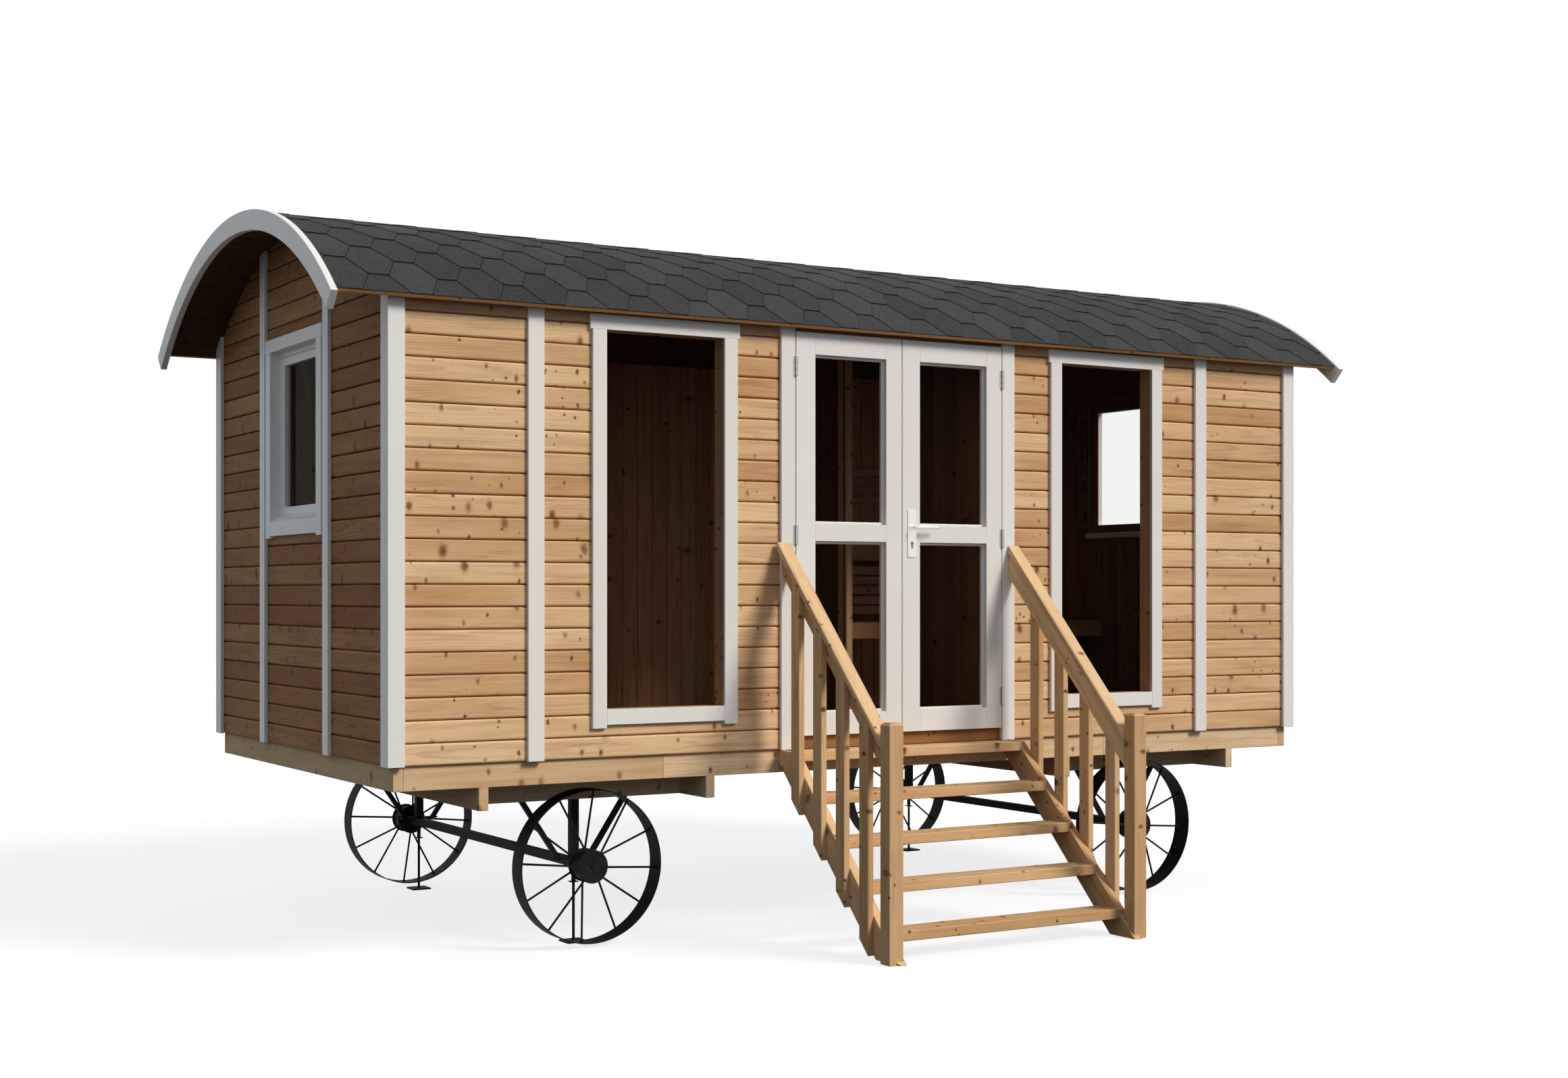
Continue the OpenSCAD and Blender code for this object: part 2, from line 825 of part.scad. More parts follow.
module left_leaf_hinges() {
    color("silver") placed()
        mirror([1, 0, 0])
            for (z = hinge_levels)
                translate([0, 0, z]) leaf_hinge();
}

module right_leaf_hinges() {
    color("silver") placed()
        for (z = hinge_levels)
            translate([0, 0, z]) leaf_hinge();
}

// Puts a shape that rises along Z on the spindle's axis, starting at y and going inwards.
module at_spindle(y) {
    translate([lever_x, y, lever_z]) rotate([-90, 0, 0]) children();
}

module handle_plates() {
    key_z = lever_z - 82;
    color("silver") placed()
        difference() {
            for (y = [leaf_y0 - plate_t, leaf_y1])
                block([lever_x - plate_w / 2, lever_x + plate_w / 2], [y, y + plate_t],
                    [lever_z + plate_up - plate_h, lever_z + plate_up]);
            at_spindle(leaf_y0 - plate_t - cut)
                cylinder(h = leaf_t + 2 * (plate_t + cut), r = neck_r + run_gap, $fn = round_fn);
            for (y = [leaf_y0 - plate_t, leaf_y1]) {
                translate([lever_x, y - cut, key_z])
                    rotate([-90, 0, 0]) cylinder(h = plate_t + 2 * cut, r = 4, $fn = 48);
                block([lever_x - 1.5, lever_x + 1.5], [y - cut, y + plate_t + cut],
                    [key_z - 12, key_z]);
            }
        }
}

// The neck, the arm and the arm's round end on one side of the leaf.
module lever_arm(y) {
    arm_y = [y[0], y[0] + lever_w];
    at_spindle(y[0]) cylinder(h = y[1] - y[0], r = neck_r, $fn = round_fn);
    block([lever_x, lever_x + lever_len - lever_w / 2], arm_y,
        [lever_z - lever_w / 2, lever_z + lever_w / 2]);
    translate([lever_x + lever_len - lever_w / 2, arm_y[0], lever_z])
        rotate([-90, 0, 0]) cylinder(h = lever_w, r = lever_w / 2, $fn = 48);
}

module lever_handle() {
    color("silver") placed() {
        lever_arm([leaf_y0 - lever_out, leaf_y0 - seat_gap]);
        translate([0, leaf_y0 + leaf_y1, 0])
            mirror([0, 1, 0])
                lever_arm([leaf_y0 - lever_out, leaf_y0 - seat_gap]);
        at_spindle(leaf_y0 - lever_out)
            cylinder(h = leaf_t + 2 * lever_out, r = spindle_r, $fn = round_fn);
    }
}

// ---- Axles, wheels and jacks ----

// The brace stands on the saddle, a plate welded along the axle's top at the post.
module brace() {
    lean = (brace_reach - brace_foot) / (bearer_z + axle_z);
    half = brace_w / 2 * sqrt(1 + lean * lean);
    foot_z = -axle_z + axle_w / 2;
    foot_x = brace_foot + lean * axle_w / 2;
    translate([0, brace_w / 2, 0])
        rotate([90, 0, 0])
            linear_extrude(brace_w)
                polygon([[foot_x - half, foot_z], [foot_x + half, foot_z],
                    [brace_reach + half, bearer_z], [brace_reach - half, bearer_z]]);
    block([0, foot_x + half + saddle_t], [-axle_w / 2, axle_w / 2],
        [foot_z - saddle_t / 2, foot_z + saddle_t / 2]);
}

module axle() {
    half = axle_w / 2;
    translate([axle_x, 0, 0]) {
        block([-half, half], [-axle_end, axle_end], [-axle_z - half, -axle_z + half]);
        translate([0, stub_end, -axle_z])
            rotate([90, 0, 0]) cylinder(h = 2 * stub_end, r = stub_r, $fn = round_fn);
        both_sides() translate([0, rail_y, 0]) {
            block([-half, half], [-half, half], [-axle_z, bearer_z]);
            both_ends() brace();
        }
    }
}

module axle_left() {
    color("dimgray") placed() mirror([1, 0, 0]) axle();
}

module axle_right() {
    color("dimgray") placed() axle();
}

module spoke(hub_z) {
    start = hub_r - 8;
    run = wheel_r - rim_t / 2 - start;
    lift = wheel_y - hub_z;
    translate([start, 0, hub_z])
        rotate([0, atan2(run, lift), 0])
            cylinder(h = norm([run, lift]), r = spoke_r, $fn = 24);
}

// A wheel about Z, with its outer face upwards.
module wheel() {
    difference() {
        union() {
            translate([0, 0, wheel_y - rim_half])
                difference() {
                    cylinder(h = rim_w, r = wheel_r, $fn = round_fn);
                    translate([0, 0, -cut])
                        cylinder(h = rim_w + 2 * cut, r = wheel_r - rim_t, $fn = round_fn);
                }
            translate([0, 0, hub_in]) cylinder(h = hub_w, r = barrel_r, $fn = round_fn);
            for (z = [hub_in, hub_out - disc_t])
                translate([0, 0, z]) cylinder(h = disc_t, r = hub_r, $fn = round_fn);
            translate([0, 0, hub_out]) cylinder(h = bolt_h, r = bolt_r, $fn = 6);
            for (i = [0 : spokes - 1])
                rotate([0, 0, i * 360 / spokes - spoke_turn])
                    spoke(i % 2 == 0 ? hub_out - disc_t / 2 : hub_in + disc_t / 2);
        }
        translate([0, 0, hub_in - cut])
            cylinder(h = stub_end - hub_in + cut + joint_gap, r = stub_r + run_gap, $fn = round_fn);
    }
}

module placed_wheel(end, side) {
    color("dimgray") placed()
        translate([end * axle_x, 0, -axle_z]) rotate([-90 * side, 0, 0]) wheel();
}

module wheel_front_left() {
    placed_wheel(-1, -1);
}

module wheel_front_right() {
    placed_wheel(1, -1);
}

module wheel_back_left() {
    placed_wheel(-1, 1);
}

module wheel_back_right() {
    placed_wheel(1, 1);
}

module screw_jacks() {
    axle_under = -axle_z - axle_w / 2;
    collar_z = axle_under - collar_drop;
    color("dimgray") placed()
        both_ends() both_sides() translate([axle_x, rail_y, 0]) {
            translate([0, 0, ground + foot_t / 2])
                cylinder(h = axle_under - ground - foot_t / 2, r = screw_r, $fn = 48);
            block([-foot_w / 2, foot_w / 2], [-foot_w / 2, foot_w / 2], [ground, ground + foot_t]);
            translate([0, 0, collar_z]) cylinder(h = axle_under - collar_z, r = tube_r, $fn = 48);
            block([-collar_w / 2, collar_w / 2], [-collar_w / 2, collar_w / 2],
                [collar_z, collar_z + collar_t]);
        }
}

// ---- Stairs ----

// The stringer's front edge and its level width give its outline down to the ground.
function edge_y(z) = stringer_y + z / slope;
function lower_z(y) = (y - stringer_d - stringer_y) * slope;
function cap_z(y) = rail_top + (y + trim_y) * cap_slope;

module stringer_board(x) {
    along_x(x)
        polygon([[stringer_y, -stair_drop], [-beam_y, -stair_drop], [-beam_y, lower_z(-beam_y)],
            [edge_y(ground) + stringer_d, ground], [edge_y(ground), ground]]);
}

module tread(i, half) {
    nose = -half_depth - top_nose - i * going;
    top = -stair_drop - i * rise;
    block([-half, half], [nose, nose + tread_d], [top - tread_t, top]);
}

module stair_stringers() {
    color("burlywood") placed()
        both_ends()
            difference() {
                stringer_board([stringer_x, stringer_x + stringer_t]);
                for (i = [0 : treads - 1])
                    tread(i, stringer_x + housing);
            }
}

module stair_treads() {
    color("burlywood") placed()
        for (i = [0 : treads - 1])
            tread(i, stringer_x + housing);
}

module newel_side(w) {
    polygon([[0, ground], [w, ground], [w, newel_top - newel_chamfer],
        [w - newel_chamfer, newel_top], [newel_chamfer, newel_top], [0, newel_top - newel_chamfer]]);
}

module stair_newels() {
    color("burlywood") placed()
        both_ends()
            difference() {
                intersection() {
                    translate([0, newel_y, 0])
                        along_x([newel_x, newel_x + newel_w]) newel_side(newel_w);
                    translate([newel_x, newel_y + newel_w, 0])
                        rotate([90, 0, 0]) linear_extrude(newel_w) newel_side(newel_w);
                }
                stringer_board([stringer_x - cut, stringer_x + stringer_t]);
            }
}

module stair_balusters() {
    x0 = stringer_x + stringer_t;
    color("burlywood") placed()
        both_ends()
            for (i = [0 : balusters - 1]) {
                y0 = -half_depth - baluster_front - i * baluster_pitch;
                y1 = y0 + baluster_d;
                along_x([x0, x0 + baluster_t])
                    polygon([[y0, max(lower_z(y0), ground)], [y1, max(lower_z(y1), ground)],
                        [y1, cap_z(y1) - cap_v], [y0, cap_z(y0) - cap_v]]);
            }
}

// A sloping board whose top lies drop under the handrail's top.
module rail_board(x, drop, height) {
    along_x(x)
        polygon([[-trim_y, rail_top - drop], [cap_y0, rail_foot - drop],
            [cap_y0, rail_foot - drop - height], [-trim_y, rail_top - drop - height]]);
}

module stair_handrails() {
    color("burlywood") placed()
        both_ends() {
            rail_board([cap_x, cap_x + cap_w], 0, cap_v);
            rail_board([cap_x + under_in, stringer_x + stringer_t], cap_v, under_v);
        }
}

// ---- Sauna room ----

module partition() {
    x = [partition_x, partition_x1];
    color("sienna") placed() under_roof() {
        block(x, [-inner_y, -passage_front], [floor_t, high_z]);
        block(x, [passage_back, inner_y], [floor_t, high_z]);
    }
}

module partition_posts() {
    post_x = partition_x - post_out;
    post_y = passage_back - post_w;
    stile_y = post_y - post_gap;
    color("sienna") placed() under_roof() {
        block([post_x, partition_x1], [post_y, passage_back - joint_gap], [floor_t, high_z]);
        block([post_x, post_x + stile_t], [stile_y - stile_w, stile_y], [floor_t, high_z]);
    }
}

module bench(y, top) {
    block([room_x0, room_x1], y, [top - seat_t, top]);
    block([room_x0, room_x1], [y[0], y[0] + bench_board_t], [top - fascia_h, top]);
}

module benches() {
    color("sienna") placed() {
        bench([low_y, high_y - joint_gap], low_z);
        bench([high_y, inner_y], high_seat_z);
    }
}

module bench_slats() {
    color("sienna") placed() {
        for (i = [0 : slats - 1])
            translate([0, 0, high_seat_z - fascia_h - slat_gap - slat_h - i * slat_pitch])
                block([room_x0, room_x1], [high_y, high_y + bench_board_t], [0, slat_h]);
        for (i = [0 : backrest_slats - 1])
            translate([0, 0, high_seat_z + backrest_h + i * slat_pitch])
                block([room_x0, room_x1], [inner_y - bench_board_t, inner_y], [0, slat_h]);
    }
}

base_frame();
cross_bearers();
long_rails();
floor_slab();  // floor
front_wall_left();
front_wall_right();
door_header();
back_wall();
end_wall_left();
end_wall_right();
corner_boards();
wall_battens();
roof_deck();
shingle_skin();
bargeboards();
front_window_casings();
front_window_glass();
end_window_frames();
end_window_sashes();
end_window_glass();
door_casings();
door_stops();
door_sill();
door_leaf_left();
door_leaf_right();
door_glass_left();
door_glass_right();
frame_hinges();
left_leaf_hinges();
right_leaf_hinges();
handle_plates();
lever_handle();
axle_left();
axle_right();
wheel_front_left();
wheel_front_right();
wheel_back_left();
wheel_back_right();
screw_jacks();
stair_stringers();
stair_treads();
stair_newels();
stair_balusters();
stair_handrails();
partition();
partition_posts();
benches();
bench_slats();
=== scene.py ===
# %% [markdown]
# # A mobile sauna
#
# The sauna is a timber cabin under an arched shingle roof. It stands on two axles with
# spoked iron wheels, is levelled on screw jacks and is entered by wooden steps. The packed
# model gives every size and place. This lesson gives each piece the shape and the finish
# that a carpenter, a roofer, a painter and a smith would leave on it.

# %% The frame and its measures
import math

import bpy
import numpy as np
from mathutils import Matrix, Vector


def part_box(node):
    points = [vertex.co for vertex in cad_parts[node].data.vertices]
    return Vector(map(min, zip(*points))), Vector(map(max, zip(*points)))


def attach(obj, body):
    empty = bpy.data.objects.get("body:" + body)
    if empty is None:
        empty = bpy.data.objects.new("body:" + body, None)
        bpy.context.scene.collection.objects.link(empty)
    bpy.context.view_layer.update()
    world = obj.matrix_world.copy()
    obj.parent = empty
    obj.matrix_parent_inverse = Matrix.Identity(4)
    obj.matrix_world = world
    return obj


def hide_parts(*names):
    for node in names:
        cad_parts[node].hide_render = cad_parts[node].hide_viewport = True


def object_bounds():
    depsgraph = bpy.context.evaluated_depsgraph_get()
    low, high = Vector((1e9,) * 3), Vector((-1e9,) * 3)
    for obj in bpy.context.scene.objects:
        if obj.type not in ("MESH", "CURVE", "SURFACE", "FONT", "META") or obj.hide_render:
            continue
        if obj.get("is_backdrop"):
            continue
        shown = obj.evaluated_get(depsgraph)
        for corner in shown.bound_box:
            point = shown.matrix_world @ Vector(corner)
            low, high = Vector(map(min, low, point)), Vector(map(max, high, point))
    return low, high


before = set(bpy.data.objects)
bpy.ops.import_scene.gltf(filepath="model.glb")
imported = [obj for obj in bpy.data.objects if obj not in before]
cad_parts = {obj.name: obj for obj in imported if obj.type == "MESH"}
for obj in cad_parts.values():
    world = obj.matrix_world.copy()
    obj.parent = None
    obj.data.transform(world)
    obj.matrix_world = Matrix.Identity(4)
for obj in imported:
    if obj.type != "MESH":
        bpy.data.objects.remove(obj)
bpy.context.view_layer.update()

# Cabin coordinates: X along the cabin, Y from its middle, Z from the underside of the walls.
left_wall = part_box("front_wall_left")
back_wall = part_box("back_wall")
ORIGIN = np.array([0.0, (left_wall[0].y + back_wall[1].y) / 2, left_wall[0].z])


def cad(node):
    """Lowest and highest corner of a CAD node, in cabin coordinates."""
    low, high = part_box(node)
    return np.array(low) - ORIGIN, np.array(high) - ORIGIN


HALF_X = cad("back_wall")[1][0]
HALF_Y = cad("back_wall")[1][1]
INNER_X, INNER_Y = cad("floor")[1][:2]
FLOOR_T = cad("floor")[1][2]
TRIM_X, TRIM_Y = cad("corner_boards")[1][:2]
GROUND = -ORIGIN[2]
print("cabin", 2 * HALF_X, "x", 2 * HALF_Y, "m, walls", round(HALF_Y - INNER_Y, 3), "m thick")

# %% The roof's circle
# The deck's underside is an arc. Its centre lies a radius and a thickness below the deck's top.
DECK_R, DECK_T = 2.065, 0.019
ROOF_Z = cad("roof_deck")[1][2] - (DECK_R + DECK_T)
FELT_MIDDLE = 0.004
SHINGLE_R = DECK_R + DECK_T + FELT_MIDDLE
GAP = 0.0005


def under_deck(y):
    """Height of the deck's underside at y: the circle's centre plus sqrt(r^2 - y^2)."""
    return ROOF_Z + np.sqrt(DECK_R**2 - np.asarray(y, float) ** 2) - GAP


print("ridge", round(cad("bargeboards")[1][2] - GROUND, 3), "m above the ground")

# %% [markdown]
# ## Boards
#
# Nearly everything here is sawn timber. A board could be a cube with a Bevel modifier, but
# then the grain would know nothing of the board's own direction. So each board is a convex
# outline carried along an axis, with its arrises taken off in the same step, and it keeps
# two attributes: `grain`, the place inside the log it was sawn from, and `tone`, a number
# of its own that makes it a little lighter or redder than its neighbours.

# %% Outlines
rng = np.random.default_rng(11)


def flip(s, a, b):
    """A span on side s of the middle: (s a, s b)."""
    return s * a, s * b


def ccw(outline):
    """The outline with its corners counter-clockwise (signed area above zero)."""
    p = np.asarray(outline, float)
    q = np.roll(p, -1, axis=0)
    area = np.sum(p[:, 0] * q[:, 1] - q[:, 0] * p[:, 1])
    return p if area > 0 else p[::-1]


def cut_corners(outline, cut):
    """Each corner P becomes P + cut * (direction back) and P + cut * (direction on)."""
    back = np.roll(outline, 1, axis=0) - outline
    on = np.roll(outline, -1, axis=0) - outline
    back /= np.linalg.norm(back, axis=1)[:, None]
    on /= np.linalg.norm(on, axis=1)[:, None]
    return np.stack([outline + cut * back, outline + cut * on], axis=1).reshape(-1, 2)


def inset(outline, step):
    """Every edge moved inwards by step: P - step * (n1 + n2) / (1 + n1.n2)."""
    edge = np.roll(outline, -1, axis=0) - outline
    edge /= np.linalg.norm(edge, axis=1)[:, None]
    normal = np.stack([edge[:, 1], -edge[:, 0]], axis=1)
    before = np.roll(normal, 1, axis=0)
    share = 1 + np.sum(normal * before, axis=1)
    return outline - step * (normal + before) / share[:, None]


def ring_faces(count, size, closed=False):
    """Faces over `count` rings of `size` points: point i of ring k, i + 1, and both on k + 1.

    A closed skin joins the last ring to the first; an open one gets a cap at each end.
    """
    k, i = np.divmod(np.arange((count if closed else count - 1) * size), size)
    j, after = (i + 1) % size, (k + 1) % count
    quads = [k * size + i, k * size + j, after * size + j, after * size + i]
    faces = np.stack(quads, axis=1).tolist()
    if not closed:
        end = np.arange(size)
        faces += [end[::-1].tolist(), ((count - 1) * size + end).tolist()]
    return faces


def turned_over(faces):
    """The same faces seen from their other side: quads keep their first corner, caps don't."""
    return [face[:1] + face[:0:-1] if len(face) == 4 else face[::-1] for face in faces]


def angles(sides):
    """The angles of a circle's points: 2 pi k / sides."""
    return np.arange(sides) * 2 * np.pi / sides


# %% Gathering boards into a mesh
class Stock:
    """Boards and other solids that go into one mesh."""

    def __init__(self):
        self.points, self.faces, self.grain, self.tone = [], [], [], []
        self.count = 0

    def add(self, points, faces, grain, tone):
        """Adds one solid: its points, faces, grain coordinates and tone."""
        self.points.append(points)
        self.faces += [(np.asarray(f) + self.count).tolist() for f in faces]
        self.grain.append(grain)
        self.tone.append(np.full(len(points), tone))
        self.count += len(points)

    def prism(self, outline, axis, span, grain=None, arris=0.0015, cut=True, tone=None):
        """An outline in the two axes after `axis`, carried from span[0] to span[1].

        Four rings make it: the inset outline at each end and the full outline an arris
        further in. A span's end may be a function of the ring's corners.
        """
        ring = ccw(outline)
        ring = cut_corners(ring, arris) if cut else ring
        small = inset(ring, arris) if cut else ring
        low, high = (s if callable(s) else (lambda r, s=s: np.full(len(r), s)) for s in span)
        places = (low(small), low(ring) + arris, high(ring) - arris, high(small))
        rings = zip(places, (small, ring, ring, small))
        points = [np.roll(np.column_stack([at, r]), axis, axis=1) for at, r in rings]
        points = np.concatenate(points)
        self.add(points, ring_faces(4, len(ring)), self.log(points, axis, grain), self.pick(tone))

    def pick(self, tone):
        """A tone of its own, unless one is given."""
        return rng.random() if tone is None else tone

    def log(self, points, axis, grain):
        """Place in the log: along the grain, and across it from a pith behind the face."""
        size = np.ptp(points, axis=0)
        g = np.eye(3)[axis] if grain is None else np.asarray(grain, float)
        g = g / np.linalg.norm(g)
        if grain is None:
            size[axis] = 0
            n = np.eye(3)[int(np.argmin(np.where(size > 0, size, 9)))]
        else:
            n = np.eye(3)[axis]
        a = np.cross(n, g)
        local = (points - points.mean(axis=0)) @ np.stack([g, a, n], axis=1)
        pith = [rng.random() * 60, rng.uniform(-0.05, 0.05), rng.uniform(0.03, 0.09)]
        return local + np.array(pith)

    def board(self, x, y, z, grain=None, arris=0.0015, tone=None):
        """A straight board from its limits, with the grain along its longest side."""
        spans = [x, y, z]
        size = [abs(s[1] - s[0]) for s in spans]
        axis = int(np.argmax(size)) if grain is None else grain
        u, v = sorted(spans[(axis + 1) % 3]), sorted(spans[(axis + 2) % 3])
        outline = [(u[0], v[0]), (u[1], v[0]), (u[1], v[1]), (u[0], v[1])]
        self.prism(outline, axis, sorted(spans[axis]), arris=arris, tone=tone)

    def upright(self, x, y, z0, arris=0.0015, tone=None):
        """A board on end whose top is cut to the deck's curve."""
        y0, y1 = sorted(y)
        outline = [(y0, z0), (y1, z0), (y1, under_deck(y1)), (y0, under_deck(y0))]
        self.prism(outline, 0, sorted(x), grain=(0, 0, 1), arris=arris, tone=tone)

    def piece(self, name, finish, node, body="cabin", slot=None, smooth=False):
        """Makes the mesh, stands it in for its CAD node and leaves the stock empty."""
        mesh = bpy.data.meshes.new(name)
        mesh.from_pydata(np.concatenate(self.points) + ORIGIN, [], self.faces)
        columns = (("grain", "FLOAT_VECTOR", self.grain), ("tone", "FLOAT", self.tone))
        for label, kind, values in columns:
            column = mesh.attributes.new(label, kind, "POINT").data
            values = np.concatenate(values).astype(np.float32).ravel()
            column.foreach_set("vector" if kind == "FLOAT_VECTOR" else "value", values)
        mesh.polygons.foreach_set("use_smooth", np.full(len(mesh.polygons), smooth))
        mesh.materials.append(finish)
        mesh.update()
        if smooth:
            mesh.set_sharp_from_angle(angle=math.radians(32))
        obj = added(name, mesh)
        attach(obj, body)
        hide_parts(node)
        self.__init__()
        print(name, len(mesh.polygons), "faces")


def added(name, data):
    """An object for a mesh, lamp or camera, put into the scene."""
    obj = bpy.data.objects.new(name, data)
    bpy.context.scene.collection.objects.link(obj)
    return obj


# %% [markdown]
# ## Shader arithmetic
#
# Procedural finishes are sums. Wired by hand they turn into dozens of Math nodes that
# nobody can read, so a socket is wrapped in a small class: `ring * 0.4 + streak` adds the
# nodes, and the formula stays a formula.


# %% Sockets that add up
class Wire:
    """One output socket with arithmetic."""

    def __init__(self, finish, socket):
        self.finish, self.socket = finish, socket

    def math(self, operation, *others):
        """A Math node on this value and the others."""
        return self.finish.node("ShaderNodeMath", {"operation": operation}, self, *others)[0]

    def __add__(self, other):
        return self.math("ADD", other)

    def __sub__(self, other):
        return self.math("SUBTRACT", other)

    def __mul__(self, other):
        return self.math("MULTIPLY", other)

    def __truediv__(self, other):
        return self.math("DIVIDE", other)

    def __rsub__(self, other):
        settings = {"operation": "SUBTRACT"}
        return self.finish.node("ShaderNodeMath", settings, other, self)[0]

    def __pow__(self, other):
        return self.math("POWER", other)

    __radd__ = __add__
    __rmul__ = __mul__

    def fraction(self):
        return self.math("FRACT")

    def step(self, low, high):
        """0 below low, 1 above high, and smooth between them."""
        settings = {"interpolation_type": "SMOOTHSTEP"}
        ends = {"Value": self, "From Min": low, "From Max": high}
        return self.finish.node("ShaderNodeMapRange", settings, **ends)["Result"]


class Finish:
    """A material, or the world, that is built from expressions."""

    def __init__(self, name, owner=None):
        self.material = owner or bpy.data.materials.new(name)
        self.material.use_nodes = True
        self.tree = self.material.node_tree
        self.shader = self.tree.nodes["Background" if owner else "Principled BSDF"]

    def node(self, kind, settings=None, *values, **sockets):
        """A node of any kind: its settings, then its sockets by order or by name."""
        node = self.tree.nodes.new(kind)
        for key, value in (settings or {}).items():
            setattr(node, key, value)
        pairs = list(enumerate(values))
        pairs += [(key.replace("_", " "), value) for key, value in sockets.items()]
        for key, value in pairs:
            self.put(node.inputs[key], value)
        return Outputs(self, node)

    def put(self, socket, value):
        """Links a wire, or sets a number, vector or colour."""
        if isinstance(value, Wire):
            self.tree.links.new(value.socket, socket)
        elif socket.type == "RGBA" and len(value) == 3:
            socket.default_value = (*value, 1)
        else:
            socket.default_value = value

    def set(self, **sockets):
        """Sets or links the shader's own sockets."""
        for key, value in sockets.items():
            self.put(self.shader.inputs[key.replace("_", " ")], value)
        return self.material

    def surface(self, shader, output="Material Output"):
        """Sends another shader to the output."""
        self.tree.links.new(shader[0].socket, self.tree.nodes[output].inputs["Surface"])
        return self.material

    def shows_white(self):
        """1 for what the camera sees directly, in a mirror or through glass, otherwise 0."""
        rays = self.node("ShaderNodeLightPath")
        seen = rays["Is Camera Ray"].math("MAXIMUM", rays["Is Glossy Ray"])
        return seen.math("MAXIMUM", rays["Is Transmission Ray"])

    def mix(self, factor, a, b):
        """Colour a to colour b by factor."""
        node = self.tree.nodes.new("ShaderNodeMix")
        node.data_type = "RGBA"
        for index, value in ((0, factor), (6, a), (7, b)):
            self.put(node.inputs[index], value)
        return Wire(self, node.outputs[2])

    def layers(self, base, *layers):
        """Colours laid over a base one after the other, each by its own mask."""
        for mask, colour in layers:
            base = self.mix(mask, base, colour)
        return base

    def attribute(self, name, output="Vector"):
        """A mesh attribute."""
        return self.node("ShaderNodeAttribute", {"attribute_name": name})[output]

    def place(self):
        """Object coordinates."""
        return self.node("ShaderNodeTexCoord")["Object"]

    def stretch(self, vector, x, y, z):
        """A vector scaled along each axis."""
        settings = {"operation": "MULTIPLY"}
        return self.node("ShaderNodeVectorMath", settings, vector, (x, y, z))[0]

    def noise(self, vector, scale, detail=2.0, rough=0.5):
        """Noise at a scale per metre."""
        sockets = {"Vector": vector, "Scale": scale, "Detail": detail, "Roughness": rough}
        return self.node("ShaderNodeTexNoise", None, **sockets)["Fac"]

    def streaks(self, vector, along, across, detail):
        """Noise with its own scale along the grain and across it."""
        return self.noise(self.stretch(vector, along, across, across), 1.0, detail)

    def bump(self, height, distance, strength=1.0):
        """A Bump node's normal for a height in shares of distance, in metres."""
        sockets = {"Height": height, "Distance": distance, "Strength": strength}
        return self.node("ShaderNodeBump", None, **sockets)["Normal"]


class Outputs:
    """A node's outputs as wires, by name or by number."""

    def __init__(self, finish, node):
        self.finish, self.node = finish, node

    def __getitem__(self, key):
        return Wire(self.finish, self.node.outputs[key])


# %% [markdown]
# ## Wood
#
# A log is a stack of cones, so the rings on a board's face are the places where the
# distance from the pith is a whole number of years. That distance bends where a branch
# once grew, which draws the swirls around a knot. Working it out from the board's place in
# the log gives straight lines, cathedral arches and end grain from the same few nodes.


# %% Sawn pine
def srgb(*values):
    """A colour of 0-255 display values, in linear light."""
    v = np.array(values) / 255
    return tuple(float(c) for c in np.where(v < 0.04045, v / 12.92, ((v + 0.055) / 1.055) ** 2.4))


def knots_of(f, flat, chance, low, high):
    """Knots on a board: for each cell a share that has one, its size and its distance.

    Returns the heart's mask, its outer ring's mask, the wide swirl's mask and two numbers:
    the distance from the middle in knot radii, and the knot's age.
    """
    settings = {"voronoi_dimensions": "2D", "feature": "F1"}
    cell = f.node("ShaderNodeTexVoronoi", settings, Vector=flat, Scale=1.0, Randomness=1.0)
    luck = f.node("ShaderNodeSeparateColor", None, cell["Color"])
    there = luck[0].step(1 - chance, 1.001 - chance)
    span = cell["Distance"] / (luck[1] ** 1.6 * (high - low) + low)
    heart = there * (1 - span.step(0.72, 1.08))
    ring = there * (1 - (span - 0.95).math("ABSOLUTE").step(0.0, 0.4))
    swirl = there * (1 - span.step(0.6, 3.2))
    return heart, ring, swirl, span, luck[2]


